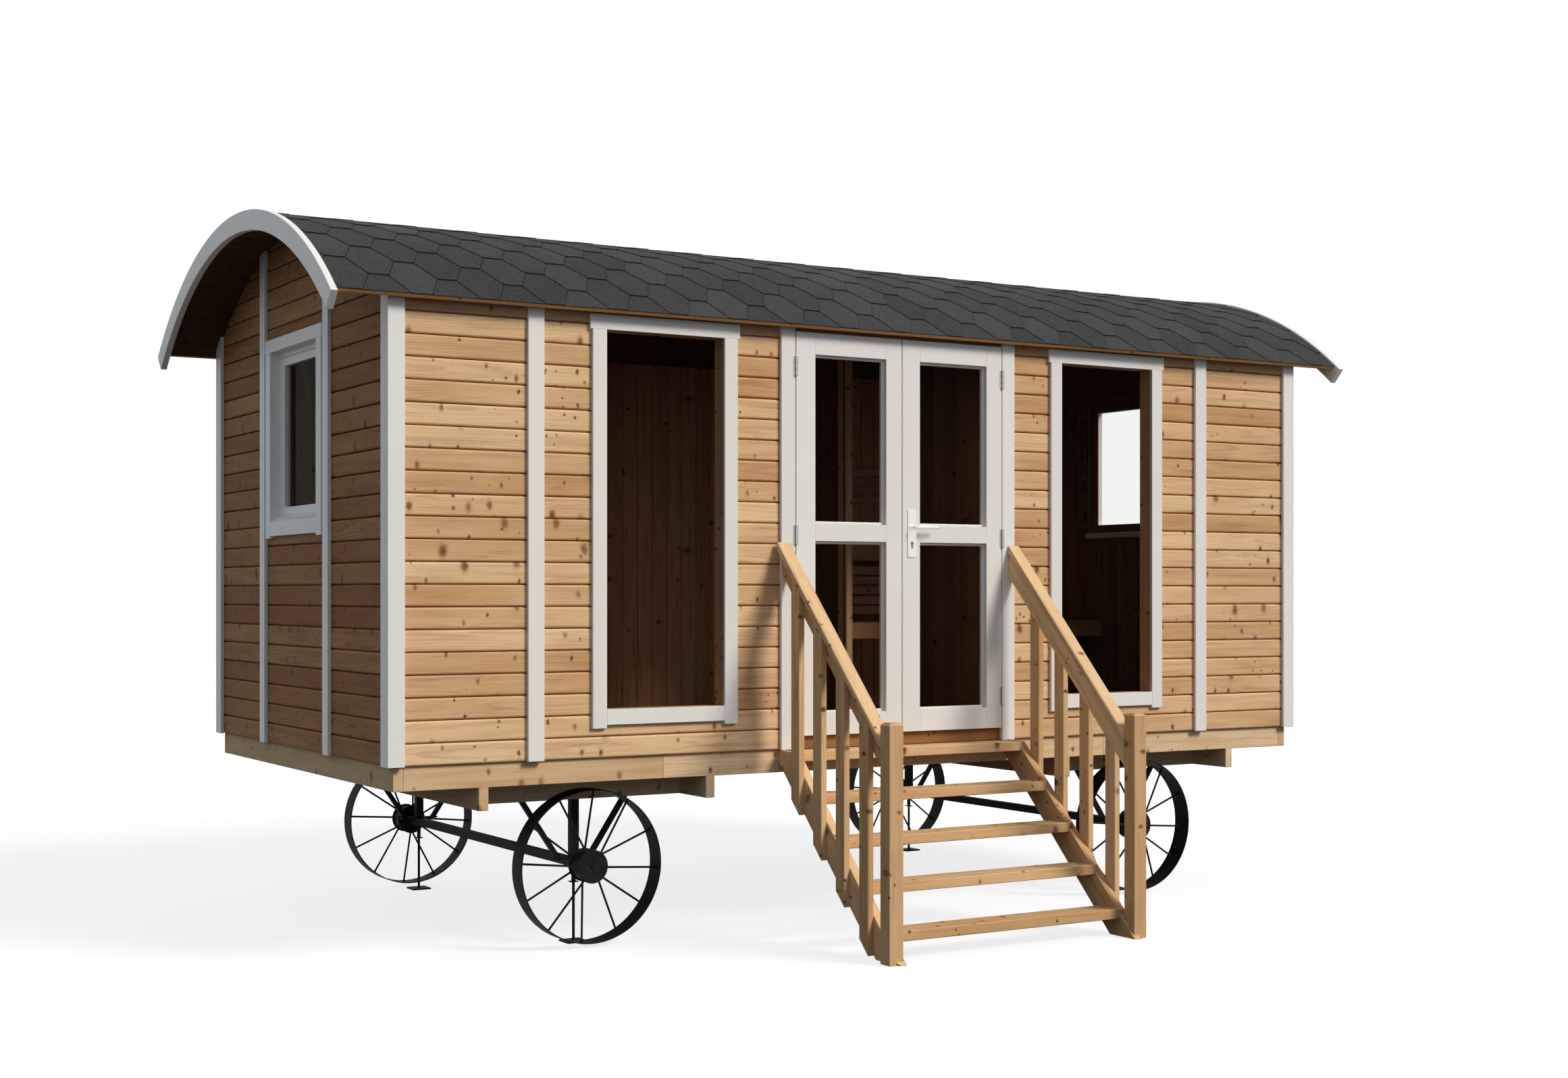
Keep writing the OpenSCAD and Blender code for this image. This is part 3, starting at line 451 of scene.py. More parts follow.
def pine(name, light, deep, late, knot, contrast=0.3, gloss=0.06, chance=0.6, spread=0.65):
    """Pine with year rings, streaks and knots, from pale sapwood to a deeper board."""
    f = Finish(name)
    light, deep, late, knot = (srgb(*colour) for colour in (light, deep, late, knot))
    spot = f.attribute("grain")
    tone = f.attribute("tone", "Fac")
    axes = f.node("ShaderNodeSeparateXYZ", None, spot)
    along, across, depth = axes[0], axes[1], axes[2]
    around = across + depth
    wander = f.streaks(spot, 60.0, 60.0, 2.0) - 0.5

    # Branch knots, and the small dark ones that come in groups
    u, v = along * 7.8 + tone * 91.0 + wander * 0.09, around * 5.0 - wander * 0.08
    flat = f.node("ShaderNodeCombineXYZ", None, u, v)["Vector"]
    heart, ring_of_knot, swirl, span, age = knots_of(f, flat, chance, 0.04, 0.12)
    u, v = along * 21.0 + tone * 53.0 + wander * 0.2, around * 21.0 - wander * 0.2
    small = f.node("ShaderNodeCombineXYZ", None, u, v)["Vector"]
    group = f.streaks(spot, 3.2, 7.0, 1.0).step(0.58, 0.66)
    dot, _, dot_swirl, _, dot_age = knots_of(f, small, chance * 0.7, 0.07, 0.17)
    dot, dot_swirl = dot * group, dot_swirl * group

    # Rings: distance from the pith, wandering slowly along the board
    slow = f.streaks(spot, 0.9, 4.0, 1.5) - 0.5
    fine = f.streaks(spot, 7.0, 60.0, 3.0) - 0.5
    reach = (across * across + depth * depth).math("SQRT")
    reach = reach + slow * 0.06 + fine * 0.005 + swirl * 0.009 + dot_swirl * 0.003
    width = f.streaks(spot, 0.4, 9.0, 1.0)
    year = (reach / 0.0068 + width * 3.0).fraction()
    ring = year.step(0.35, 0.86) * (1 - year.step(0.87, 0.97))
    faint = f.streaks(spot, 2.4, 22.0, 3.0)
    ring = ring * faint.step(0.3, 0.66)

    streak = f.streaks(spot, 7.0, 260.0, 3.0)
    band = f.streaks(spot, 2.2, 34.0, 3.0)
    cloud = f.streaks(spot, 2.0, 7.0, 3.0)
    shade = (tone - 0.5) * spread + cloud * 0.8
    turns = ((span * 2.6 + wander * 1.5).fraction() - 0.5).math("ABSOLUTE") * 2.0
    bark, pitch = (tuple(share * c for c in knot) for share in (0.35, 0.18))
    crack = (1 - (span + wander * 1.4).step(0.1, 0.5)) * heart * age.step(0.3, 0.7)
    base = f.layers(
        light,
        ((shade + 0.105).step(0.0, 1.0), deep),
        (band.step(0.45, 0.75) * 0.3, late),
        (ring * contrast, late),
        ((streak - 0.48).step(0.0, 0.36) * 0.26, late),
        (swirl.step(0.25, 1.0) * 0.34, late),
        (dot_swirl.step(0.3, 1.0) * 0.3, late),
        (heart * (age * 0.4 + 0.4), knot),
        (heart * turns * 0.2, bark),
        (crack * 0.75, pitch),
        (ring_of_knot * (age * 0.4 + 0.1), bark),
        (dot * (dot_age * 0.4 + 0.55), bark),
    )

    relief = streak * 0.5 - ring * 0.4 + heart * 0.4
    return f.set(
        Specular_IOR_Level=gloss,
        Base_Color=base,
        Roughness=(ring * -0.1 + 0.6 + streak * 0.12),
        Normal=f.bump(relief, 0.0006, 0.5),
    )


cladding = pine("oiled_cladding", (238, 200, 154), (204, 155, 108), (152, 99, 57), (122, 74, 42))
# The end walls take a darker copy of the cladding wood: painted shade for the ends that stand in
# shade.
gable = pine(
    "gable_cladding_painted_shade", (186, 139, 92), (144, 96, 60), (98, 58, 33), (66, 37, 21),
    contrast=0.75, spread=0.6,
)
timber = pine(
    "planed_timber", (238, 208, 168), (212, 174, 130), (164, 114, 72), (118, 72, 44), gloss=0.03
)
edging = pine("stained_edging", (220, 166, 112), (198, 142, 90), (146, 94, 54), (96, 58, 34))
stairs_wood = pine(
    "planed_steps", (234, 196, 150), (208, 164, 116), (152, 102, 60), (104, 62, 36), gloss=0.04
)
# The deck planks and the door stops are far darker than the eave edging of the same deck: painted
# shade for the soffit in shade.
dark = pine("deck_painted_shade", (86, 56, 34), (66, 41, 24), (44, 26, 15), (28, 16, 10), gloss=0.04)
# The wood inside is darker than the long walls' lining: painted shade for the dim room behind the
# glass. The end walls' linings, the floor, the partition and the inner faces of the end windows
# use it.
inside = pine(
    "inner_boards_painted_shade", (138, 92, 60), (104, 68, 44), (70, 43, 27), (42, 25, 16),
    gloss=0.04, chance=0.16,
)
lining_wood = pine(
    "lining_boards", (242, 180, 126), (214, 150, 98), (150, 90, 54), (92, 54, 32),
    gloss=0.03, chance=0.2,
)
# The door sill's wood is darker than the other outside wood: painted shade for the shade under the
# leaves.
sill_wood = pine("sill_painted_shade", (168, 120, 76), (138, 94, 58), (98, 62, 36), (64, 38, 22))
benches_wood = pine(
    "bench_boards", (226, 174, 130), (198, 146, 106), (142, 94, 62), (84, 52, 34), gloss=0.04
)
# The posts are paler than the other wood inside: painted light for the light that falls on them
# through the doors.
posts_wood = pine("inner_posts_painted_light", (250, 202, 154), (236, 182, 132), (190, 128, 84), (112, 68, 42))

# %% [markdown]
# ## Paint, felt, iron, steel and glass
#
# Felt, iron and steel read Object coordinates, in metres, so a pattern has the same scale on
# every piece. Paint follows the board's grain as well, and glass needs no pattern.


# %% Painted joinery
def paint():
    """Satin paint on planed boards: a faint brush line, a little unevenness."""
    f = Finish("satin_paint")
    spot = f.attribute("grain")
    brush = f.streaks(spot, 6.0, 380.0, 2.0)
    cloud = f.noise(f.place(), 3.0, 2.0)
    tone = f.attribute("tone", "Fac")
    uneven = (cloud * 0.6 + tone * 0.5).step(0.2, 0.9)
    colour = f.mix(uneven, srgb(234, 230, 223), srgb(229, 224, 216))
    return f.set(
        Base_Color=colour,
        Roughness=(brush * 0.12 + 0.4),
        Normal=f.bump(brush, 0.0002, 0.25),
    )


white = paint()


# %% Mineral felt
def felt():
    """Charcoal shingle felt: grains of crushed slate, a tone for each tab."""
    f = Finish("mineral_felt")
    spot = f.place()
    grit = f.noise(spot, 330.0, 2.0, 0.7)
    speck = f.noise(spot, 120.0, 3.0, 0.65)
    cloud = f.noise(spot, 5.0, 4.0, 0.6)
    tone = f.attribute("tone", "Fac")
    shade = (tone * 0.55 + cloud * 0.8 - 0.2).step(0.0, 1.0)
    base = f.mix(shade, srgb(35, 35, 35), srgb(60, 60, 59))
    base = f.mix((grit - 0.46).step(0.0, 0.2) * 0.6, base, srgb(94, 94, 92))
    base = f.mix((0.5 - speck).step(0.0, 0.16) * 0.5, base, srgb(20, 20, 20))
    # A tone below zero, given to the outline under each tab, turns near-black: partly the felt's
    # dark cut edge, partly painted shade.
    base = f.mix((tone * -1.0).step(0.0, 1.0), base, srgb(16, 16, 16))
    return f.set(
        Specular_IOR_Level=0.15,
        Base_Color=base,
        Roughness=(grit * 0.2 + 0.78),
        Normal=f.bump(grit * 0.7 + speck * 0.8, 0.0016, 0.8),
    )


shingle_felt = felt()


# %% Black iron
def iron():
    """Matt black paint on forged iron: slight mottling in colour and roughness, and a fine
    hammered bump.
    """
    f = Finish("black_iron")
    spot = f.place()
    mottle = f.noise(spot, 38.0, 4.0, 0.6)
    hammer = f.noise(spot, 120.0, 2.0)
    base = f.mix(mottle.step(0.35, 0.7), srgb(20, 20, 19), srgb(34, 33, 32))
    return f.set(
        Specular_IOR_Level=0.08,
        Base_Color=base,
        Roughness=(mottle * 0.25 + 0.5),
        Normal=f.bump(hammer, 0.0008, 0.35),
    )


black = iron()


# %% Satin steel
def steel(name, low, high):
    """Satin metal: fine lines along the height, a slightly uneven sheen."""
    f = Finish(name)
    spot = f.place()
    lines = f.noise(f.stretch(spot, 900.0, 900.0, 30.0), 1.0, 2.0)
    base = f.mix(lines, low, high)
    return f.set(
        Base_Color=base,
        Metallic=1.0,
        Roughness=(lines * 0.12 + 0.2),
        Normal=f.bump(lines, 0.0001, 0.2),
    )


nickel = steel("satin_steel", srgb(220, 218, 213), srgb(234, 232, 227))
zinc = steel("hinge_steel", srgb(168, 167, 163), srgb(190, 189, 185))
brushed = steel("dark_steel", srgb(120, 118, 114), srgb(142, 140, 136))


# %% Window glass
def pane():
    """Clear glass: a reflection of F = F0 + (1 - F0) * facing^5 over what is behind it."""
    f = Finish("window_glass")
    # The reflection's faint green tint is a painted reflection of greenery round the cabin.
    shiny = f.node("ShaderNodeBsdfGlossy", None, Color=(0.045, 0.056, 0.05), Roughness=0.01)
    clear = f.node("ShaderNodeBsdfTransparent", None, Color=(0.982, 0.986, 0.982))
    facing = f.node("ShaderNodeLayerWeight", None, Blend=0.5)["Facing"]
    mixed = f.node("ShaderNodeMixShader", None, facing ** 5.0 * 0.99 + 0.01, clear[0], shiny[0])
    return f.surface(mixed)


glass = pane()

# %% [markdown]
# ## Walls
#
# The walls carry horizontal boards that cover 96 mm each, with rounded edges that meet in a
# dark groove. Behind them stand a core and the upright boards of the inner lining. The
# openings are left out of each row, as the carpenter would do.

# %% Board rows
COVER = 0.096
BOARD_T = 0.020
LINING_T = 0.015
LINING_W = 0.097
SEAM = 0.002
# The core boards behind the cladding take a fixed deep tone; where the core shows in the grooves
# between boards, this is painted shade.
CORE_TONE = 0.9
SCRAP = 0.004
PANE_IN = 0.008
LINER = 0.018


def cladding_profile(face, inward, z0, z1, radius=0.009, gap=0.002):
    """Outline of one cladding board: a quarter circle at both outer edges."""
    turn = np.radians(np.linspace(0, 90, 4))
    low = np.stack([radius * (1 - np.sin(turn)), radius * (1 - np.cos(turn))], axis=1)
    bottom = np.stack([face + inward * low[:, 0], z0 + gap + low[:, 1]], axis=1)
    top = np.stack([face + inward * low[::-1, 0], z1 - gap - low[::-1, 1]], axis=1)
    back = [(face + inward * BOARD_T, z1 - gap), (face + inward * BOARD_T, z0 + gap)]
    return ccw(np.concatenate([bottom, top, back]))


def cut_out(span, holes):
    """The stretches of span that the holes leave."""
    parts = [span]
    for a, b in holes:
        parts = [(p, min(q, a)) for p, q in parts if p < a] + [
            (max(p, b), q) for p, q in parts if q > b
        ]
    return [(p, q) for p, q in parts if q - p > SCRAP]


def rows(top):
    """Lower and upper edges of the rows up to a height."""
    edges = np.arange(0, top + COVER, COVER)
    return [(a, min(b, top)) for a, b in zip(edges, edges[1:]) if a < top - 0.01]


FRONT_GLASS = cad("front_window_glass")
HEAD_EAR = 0.012
FRONT_CASING_W = 0.069
FRONT_X1 = FRONT_GLASS[1][0] - PANE_IN
FRONT_LIGHT_W = 0.597
FRONT_X0 = FRONT_X1 - FRONT_LIGHT_W
FRONT_Z0 = FRONT_GLASS[0][2] + PANE_IN
FRONT_Z1 = FRONT_GLASS[1][2] - PANE_IN
DOOR_X = cad("door_header")[1][0]
END_HALF = 0.346
END_Z0, END_Z1 = 1.077, 1.896
print("front glass", round(FRONT_X0, 3), "to", round(FRONT_X1, 3))


def long_wall(stock, lining, side, span, hole):
    """Cladding rows, core and lining of a long wall; side is -1 for the front."""
    face, inward = side * HALF_Y, -side
    core = (face + inward * BOARD_T, side * (INNER_Y + LINING_T))
    top = float(under_deck(HALF_Y))
    for z0, z1 in rows(top):
        blocked = hole and z1 > hole[1][0] and z0 < hole[1][1]
        for x in cut_out(span, [hole[0]] if blocked else []):
            stock.prism(cladding_profile(face, inward, z0, z1), 0, x, arris=0.001, cut=False)
    x_core = (max(span[0], -HALF_X + BOARD_T), min(span[1], HALF_X - BOARD_T))
    for x in cut_out(x_core, [hole[0]] if hole else []):
        stock.upright(x, core, 0.0, tone=CORE_TONE)
    if hole:
        z0, z1 = hole[1]
        stock.board(hole[0], core, (0.0, z0), tone=CORE_TONE)
        stock.board(hole[0], core, (z1, float(under_deck(HALF_Y)) - 0.002), tone=CORE_TONE)
    inner = (side * (INNER_Y + LINING_T), side * INNER_Y)
    x_lining = (max(span[0], -INNER_X), min(span[1], INNER_X))
    edges = np.append(np.arange(x_lining[0], x_lining[1], LINING_W), x_lining[1])
    top = float(under_deck(INNER_Y + LINING_T)) - 0.002
    for x in zip(edges, edges[1:]):
        if x[1] - x[0] < SCRAP:
            continue
        blocked = hole and x[1] > hole[0][0] and x[0] < hole[0][1]
        for z in cut_out((FLOOR_T, top), [hole[1]] if blocked else []):
            lining.board((x[0] + SEAM, x[1] - SEAM), inner, z, grain=2, arris=0.003)


def end_wall(stock, lining, end, hole):
    """Cladding rows that end on the roof's arc, core and lining of an end wall."""
    face, inward = end * HALF_X, -end
    limit = HALF_Y - BOARD_T - 0.001

    def arc(ring):
        """Half length of a row at each corner of its profile, limited by the walls."""
        z = ring[:, 0]
        reach = np.sqrt(np.maximum((DECK_R - 0.001) ** 2 - (z - ROOF_Z) ** 2, 1e-4))
        return np.minimum(reach, limit)

    for z0, z1 in rows(ROOF_Z + DECK_R - 0.004):
        profile = cladding_profile(face, inward, z0, z1)[:, ::-1]
        blocked = z1 > hole[1][0] and z0 < hole[1][1]
        if blocked:
            stock.prism(profile, 1, (hole[0][1], arc), arris=0.001, cut=False)
            stock.prism(profile, 1, (lambda r: -arc(r), hole[0][0]), arris=0.001, cut=False)
        else:
            stock.prism(profile, 1, (lambda r: -arc(r), arc), arris=0.001, cut=False)
    core = (face + inward * BOARD_T, end * (INNER_X + LINING_T))
    inner = flip(end, INNER_X + LINING_T, INNER_X)
    steps = np.append(np.arange(-INNER_Y, INNER_Y, LINING_W), INNER_Y)
    for y in zip(steps, steps[1:]):
        blocked = y[1] > hole[0][0] and y[0] < hole[0][1]
        for part, x, tone, seam in ((stock, core, CORE_TONE, 0.0), (lining, inner, None, SEAM)):
            across = (y[0] + seam, y[1] - seam)
            if blocked:
                part.board(x, across, (0.0, hole[1][0]), grain=2, arris=0.003, tone=tone)
                part.upright(x, across, hole[1][1], arris=0.003, tone=tone)
            else:
                part.upright(x, across, 0.0, arris=0.003, tone=tone)


def wall(name, outside, lined, build, *place):
    """A wall's two pieces: the cladding with its core, and the inner lining."""
    stock, lining = Stock(), Stock()
    build(stock, lining, *place)
    stock.piece(name + "_boards", outside, name)
    lining.piece(name + "_lining", lined, name)


# %% The four walls
FRONT_HOLE = ((FRONT_X0 - LINER, FRONT_X1 + LINER), (FRONT_Z0 - LINER, FRONT_Z1 + LINER))
LEFT_HOLE = ((-FRONT_HOLE[0][1], -FRONT_HOLE[0][0]), FRONT_HOLE[1])
END_HOLE = ((-END_HALF - LINER, END_HALF + LINER), (END_Z0 - LINER, END_Z1 + LINER))

wall("front_wall_left", cladding, lining_wood, long_wall, -1, (-HALF_X, -DOOR_X), LEFT_HOLE)
wall("front_wall_right", cladding, lining_wood, long_wall, -1, (DOOR_X, HALF_X), FRONT_HOLE)
wall("back_wall", cladding, lining_wood, long_wall, 1, (-HALF_X, HALF_X), None)
# The end walls use the gable wood and the inner wood, whose darker colours are painted shade.
wall("end_wall_left", gable, inside, end_wall, -1, END_HOLE)
wall("end_wall_right", gable, inside, end_wall, 1, END_HOLE)

# %% [markdown]
# ## White trim
#
# Corner boards, battens and casings are planted on the cladding. They share one thickness,
# and their tops are cut to the curve of the deck.

# %% Corner boards and battens
TRIM_W = 0.076
CORNER_W = 0.088
BATTEN_X = 1.918
BATTEN_Y = 0.477
signs = [(sx, sy) for sx in (-1, 1) for sy in (-1, 1)]

stock = Stock()
for sx, sy in signs:
    stock.upright(flip(sx, TRIM_X - TRIM_W, TRIM_X), flip(sy, HALF_Y, TRIM_Y), 0.0)
    stock.upright(flip(sx, HALF_X, TRIM_X), flip(sy, TRIM_Y - CORNER_W, HALF_Y), 0.0)
stock.piece("corner_trim", white, "corner_boards")

for sx, sy in signs:
    stock.upright(
        flip(sx, BATTEN_X - TRIM_W / 2, BATTEN_X + TRIM_W / 2), flip(sy, HALF_Y, TRIM_Y), 0.0
    )
    stock.upright(
        flip(sx, HALF_X, TRIM_X), flip(sy, BATTEN_Y - TRIM_W / 2, BATTEN_Y + TRIM_W / 2), 0.0
    )
for sx in (-1, 1):
    stock.upright(flip(sx, DOOR_X, DOOR_X + TRIM_W), (HALF_Y, TRIM_Y), 0.0)
stock.piece("batten_trim", white, "wall_battens")

for sx in (-1, 1):
    stock.upright(flip(sx, DOOR_X, DOOR_X + TRIM_W), (-TRIM_Y, -HALF_Y), 0.0)
stock.piece("door_casing_trim", white, "door_casings")

# %% Tall window casings
for s in (-1, 1):
    x0, x1 = FRONT_X0, FRONT_X1
    w = FRONT_CASING_W
    y = (-TRIM_Y, -HALF_Y)
    foot = FRONT_Z0 - w - 0.015
    for x in ((x0 - w, x0), (x1, x1 + w)):
        stock.board(flip(s, *x), y, (foot, FRONT_Z1))
    stock.board(flip(s, x0, x1), y, (FRONT_Z0 - w, FRONT_Z0))
    stock.board(flip(s, x0 - w - HEAD_EAR, x1 + w + HEAD_EAR), y, (FRONT_Z1, FRONT_Z1 + w))
stock.piece("tall_window_trim", white, "front_window_casings")

# The lining of the opening shows behind the glass as bare wood
for s in (-1, 1):
    depth = (-HALF_Y, -INNER_Y)
    for x in ((FRONT_X0 - LINER, FRONT_X0), (FRONT_X1, FRONT_X1 + LINER)):
        stock.board(flip(s, *x), depth, (FRONT_Z0 - LINER, FRONT_Z1 + LINER))
    for z in ((FRONT_Z0 - LINER, FRONT_Z0), (FRONT_Z1, FRONT_Z1 + LINER)):
        stock.board(flip(s, FRONT_X0, FRONT_X1), depth, z)
stock.piece("tall_window_linings", benches_wood, "front_window_casings")

# %% End windows
SASH_X = cad("end_window_sashes")[1][0]
SASH_T = 0.040
SASH_HALF = cad("end_window_sashes")[1][1]
SASH_Z0, SASH_Z1 = cad("end_window_sashes")[0][2], cad("end_window_sashes")[1][2]
SASH_STILE, SASH_RAIL = 0.049, 0.041
SHADOW = 0.0012
SILL_FALL = 0.023
END_CASING_W, END_CASING_Z = 0.075, 0.995
END_HEAD_H, END_HEAD_X, END_FOOT_H = 0.062, 0.082, 0.071
INNER_SILL_D, INNER_SILL_Z = 0.025, (1.066, 1.095)
BARE = 0.006


def split(s, inner, outer):
    """Depths of the bare inner face and of the painted rest of a frame at end s."""
    return flip(s, inner, inner + BARE), flip(s, inner + BARE, outer)


facing = Stock()
for s in (-1, 1):
    skin = flip(s, HALF_X, TRIM_X)
    for sy in (-1, 1):
        stock.board(skin, flip(sy, END_HALF, END_HALF + END_CASING_W), (END_CASING_Z, END_Z1))
        jamb = flip(sy, END_HALF, END_HALF + LINER)
        facing.board(flip(s, INNER_X, SASH_X - SASH_T), jamb, END_HOLE[1], grain=2)
        stock.board(flip(s, SASH_X - SASH_T, HALF_X), jamb, END_HOLE[1], grain=2)
        for part, x in zip((facing, stock), split(s, SASH_X - SASH_T, SASH_X)):
            part.board(x, flip(sy, SASH_HALF, END_HALF), (END_Z0, END_Z1), arris=0.001)
    head_y = (-END_HALF - END_HEAD_X, END_HALF + END_HEAD_X)
    stock.board(skin, head_y, (END_Z1, END_Z1 + END_HEAD_H))
    stock.board(skin, (-END_HALF, END_HALF), (END_Z0 - END_FOOT_H, END_Z0))
    for z in (END_HOLE[1][0], END_Z0), (END_Z1, END_HOLE[1][1]):
        facing.board(flip(s, INNER_X, SASH_X - SASH_T), (-END_HALF, END_HALF), z)
        stock.board(flip(s, SASH_X - SASH_T, HALF_X), (-END_HALF, END_HALF), z)
    for z in (END_Z0, SASH_Z0), (SASH_Z1, END_Z1):
        for part, x in zip((facing, stock), split(s, SASH_X - SASH_T, SASH_X)):
            part.board(x, (-SASH_HALF, SASH_HALF), z, arris=0.001)
    wedge = [(END_Z0, s * SASH_X), (END_Z0, s * TRIM_X), (END_Z0 + SILL_FALL, s * SASH_X)]
    stock.prism(wedge, 1, (-END_HALF, END_HALF), arris=0.0008)
    sill_y = (-END_HALF + 0.003, END_HALF - 0.003)
    stock.board(flip(s, INNER_X - INNER_SILL_D, INNER_X), sill_y, INNER_SILL_Z)
stock.piece("end_window_trim", white, "end_window_frames")
facing.piece("end_window_linings", inside, "end_window_frames")

for s in (-1, 1):
    half = SASH_HALF - SHADOW
    z0, z1 = SASH_Z0 + SHADOW, SASH_Z1 - SHADOW
    glass_half = SASH_HALF - SASH_STILE
    for part, x in zip((facing, stock), split(s, SASH_X - SASH_T + 0.002, SASH_X - 0.002)):
        for sy in (-1, 1):
            part.board(x, flip(sy, glass_half, half), (z0, z1), arris=0.001)
        part.board(x, (-glass_half, glass_half), (z0, SASH_Z0 + SASH_RAIL), arris=0.001)
        part.board(x, (-glass_half, glass_half), (SASH_Z1 - SASH_RAIL, z1), arris=0.001)
stock.piece("end_window_sash_joinery", white, "end_window_sashes")
facing.piece("end_window_sash_facings", inside, "end_window_sashes")

# %% [markdown]
# ## Roof
#
# Planks run the cabin's length and lie side by side on the arc, so their undersides make
# the soffit. The bargeboards are the same arc, sawn from wider boards. The felt comes in
# hexagonal tabs: each one is a small curved sheet whose lower edge is a trapezoid, laid so
# that the next row's tabs close it to a hexagon.

# %% Deck planks
DECK_X = cad("roof_deck")[1][0]
EAVE_ANGLE = math.asin(cad("shingle_skin")[1][1] / SHINGLE_R)
EDGING = 0.010 / DECK_R
planks = round(2 * EAVE_ANGLE * DECK_R / 0.097)


def deck_plank(stock, a, b, nick=0.0018):
    """A plank between two angles, with both lower arrises taken off for the groove."""
    a, b = a + 0.0002, b - 0.0002
    polar = [
        (a + nick, DECK_R), (b - nick, DECK_R), (b, DECK_R + 0.004),
        (b, DECK_R + DECK_T), (a, DECK_R + DECK_T), (a, DECK_R + 0.004),
    ]
    outline = [(r * math.sin(t), ROOF_Z + r * math.cos(t)) for t, r in polar]
    stock.prism(outline, 0, (-DECK_X, DECK_X), arris=0.0008, cut=False)


edges = np.linspace(-EAVE_ANGLE + EDGING, EAVE_ANGLE - EDGING, planks + 1)
for a, b in zip(edges, edges[1:]):
    deck_plank(stock, a, b)
stock.piece("deck_planks", dark, "roof_deck")
for a, b in ((-EAVE_ANGLE, -EAVE_ANGLE + EDGING), (EAVE_ANGLE - EDGING, EAVE_ANGLE)):
    deck_plank(stock, a, b, nick=0.0006)
stock.piece("eave_edging", edging, "roof_deck")


# %% Bargeboards
def bent_board(stock, x, inner, outer, angle, steps=72, arris=0.002):
    """A rectangle with taken-off arrises, carried round the roof's centre.

    A point at radius r and angle t lies at (x, r sin t, centre + r cos t).
    """
    outline = [(x[0], inner), (x[1], inner), (x[1], outer), (x[0], outer)]
    outline = cut_corners(ccw(outline), arris)
    t = np.linspace(-angle, angle, steps + 1)[:, None]
    r = outline[None, :, 1]
    shape = (steps + 1, len(outline))
    along = np.broadcast_to(outline[None, :, 0], shape)
    points = np.stack([along, r * np.sin(t), ROOF_Z + r * np.cos(t)], axis=2).reshape(-1, 3)
    length, depth = (np.broadcast_to(v, shape).ravel() for v in (t * outer, r - inner))
    grain = np.stack([length + 7 * x[0], points[:, 0] - x[0], depth], axis=1)
    stock.add(points, turned_over(ring_faces(*shape)), grain, rng.random())


BARGE_X = cad("bargeboards")[1][0]
BARGE_W = 0.093
BARGE_R = cad("bargeboards")[1][2] - ROOF_Z
BARGE_ANGLE = math.asin(cad("bargeboards")[1][1] / BARGE_R)
bent_board(stock, (-BARGE_X, -DECK_X), BARGE_R - BARGE_W, BARGE_R, BARGE_ANGLE)
bent_board(stock, (DECK_X, BARGE_X), BARGE_R - BARGE_W, BARGE_R, BARGE_ANGLE)
stock.piece("bargeboard_arcs", white, "bargeboards")

# %% Hexagonal shingles
PERIOD = 0.304
FLAT = 0.089
EXPOSURE = 0.1375
TAB_T = 0.003
LAPS, LIFT = 2.12, 0.0048
SHADE_W = 0.0025
PHASE = 0.119
HALF_TAB = PERIOD / 2
SLANT = (PERIOD - 2 * FLAT) / 2
HALF_ARC = EAVE_ANGLE * SHINGLE_R


def tab(stock, middle, level, side, spread=0.0, tone=None):
    """One tab: columns follow the lower edge, rows climb the arc; spread widens the outline.

    The lower edge is 0 under the flat, climbs one exposure along the slant and stays there
    to the neighbour. Height above the deck falls from two layers to none at the top edge.
    """
    flat = FLAT / 2 + spread
    x = np.array([-HALF_TAB, -flat - SLANT, -flat - SLANT / 2, -flat, flat, flat + SLANT / 2,
                  flat + SLANT, HALF_TAB])
    edge = np.clip((np.abs(x) - flat) / SLANT, 0, 1) * EXPOSURE
    level = level - spread * 0.8
    t = np.linspace(0, 1, 5 if spread == 0 else 3)[:, None]
    s = level + edge + t * (LAPS * EXPOSURE - edge)
    x = np.clip(np.broadcast_to(x + middle, s.shape), -DECK_X, DECK_X)
    s = np.clip(s, 0, HALF_ARC)
    lift = LIFT * (1 - (s - level) / (LAPS * EXPOSURE))
    rows_, cols = s.shape
    layers = []
    for height in (lift + 0.0006 - spread * 0.6, np.maximum(lift - TAB_T, 0.0)):
        r = DECK_R + DECK_T + height
        angle = side * (EAVE_ANGLE - s / SHINGLE_R)
        layers.append(np.stack([x, r * np.sin(angle), ROOF_Z + r * np.cos(angle)], axis=-1))
    points = np.concatenate([layer.reshape(-1, 3) for layer in layers])
    i, k = np.meshgrid(np.arange(cols - 1), np.arange(rows_ - 1))
    a = (k * cols + i).ravel()
    top = np.stack([a, a + 1, a + cols + 1, a + cols], axis=1)
    under = top[:, ::-1] + rows_ * cols
    rim = np.concatenate([
        np.arange(cols), cols - 1 + cols * np.arange(1, rows_),
        (rows_ - 1) * cols + np.arange(cols - 1)[::-1], cols * np.arange(1, rows_ - 1)[::-1],
    ])
    nxt = np.roll(rim, -1)
    wall = np.stack([rim, rim + rows_ * cols, nxt + rows_ * cols, nxt], axis=1)
    faces = np.concatenate([top, under, wall])
    if side > 0:
        faces = faces[:, ::-1]
    corner = points[faces]
    diagonals = np.cross(corner[:, 2] - corner[:, 0], corner[:, 3] - corner[:, 1])
    area = np.linalg.norm(diagonals, axis=1)
    stock.add(points, faces[area > 1e-8].tolist(), points, rng.random() if tone is None else tone)


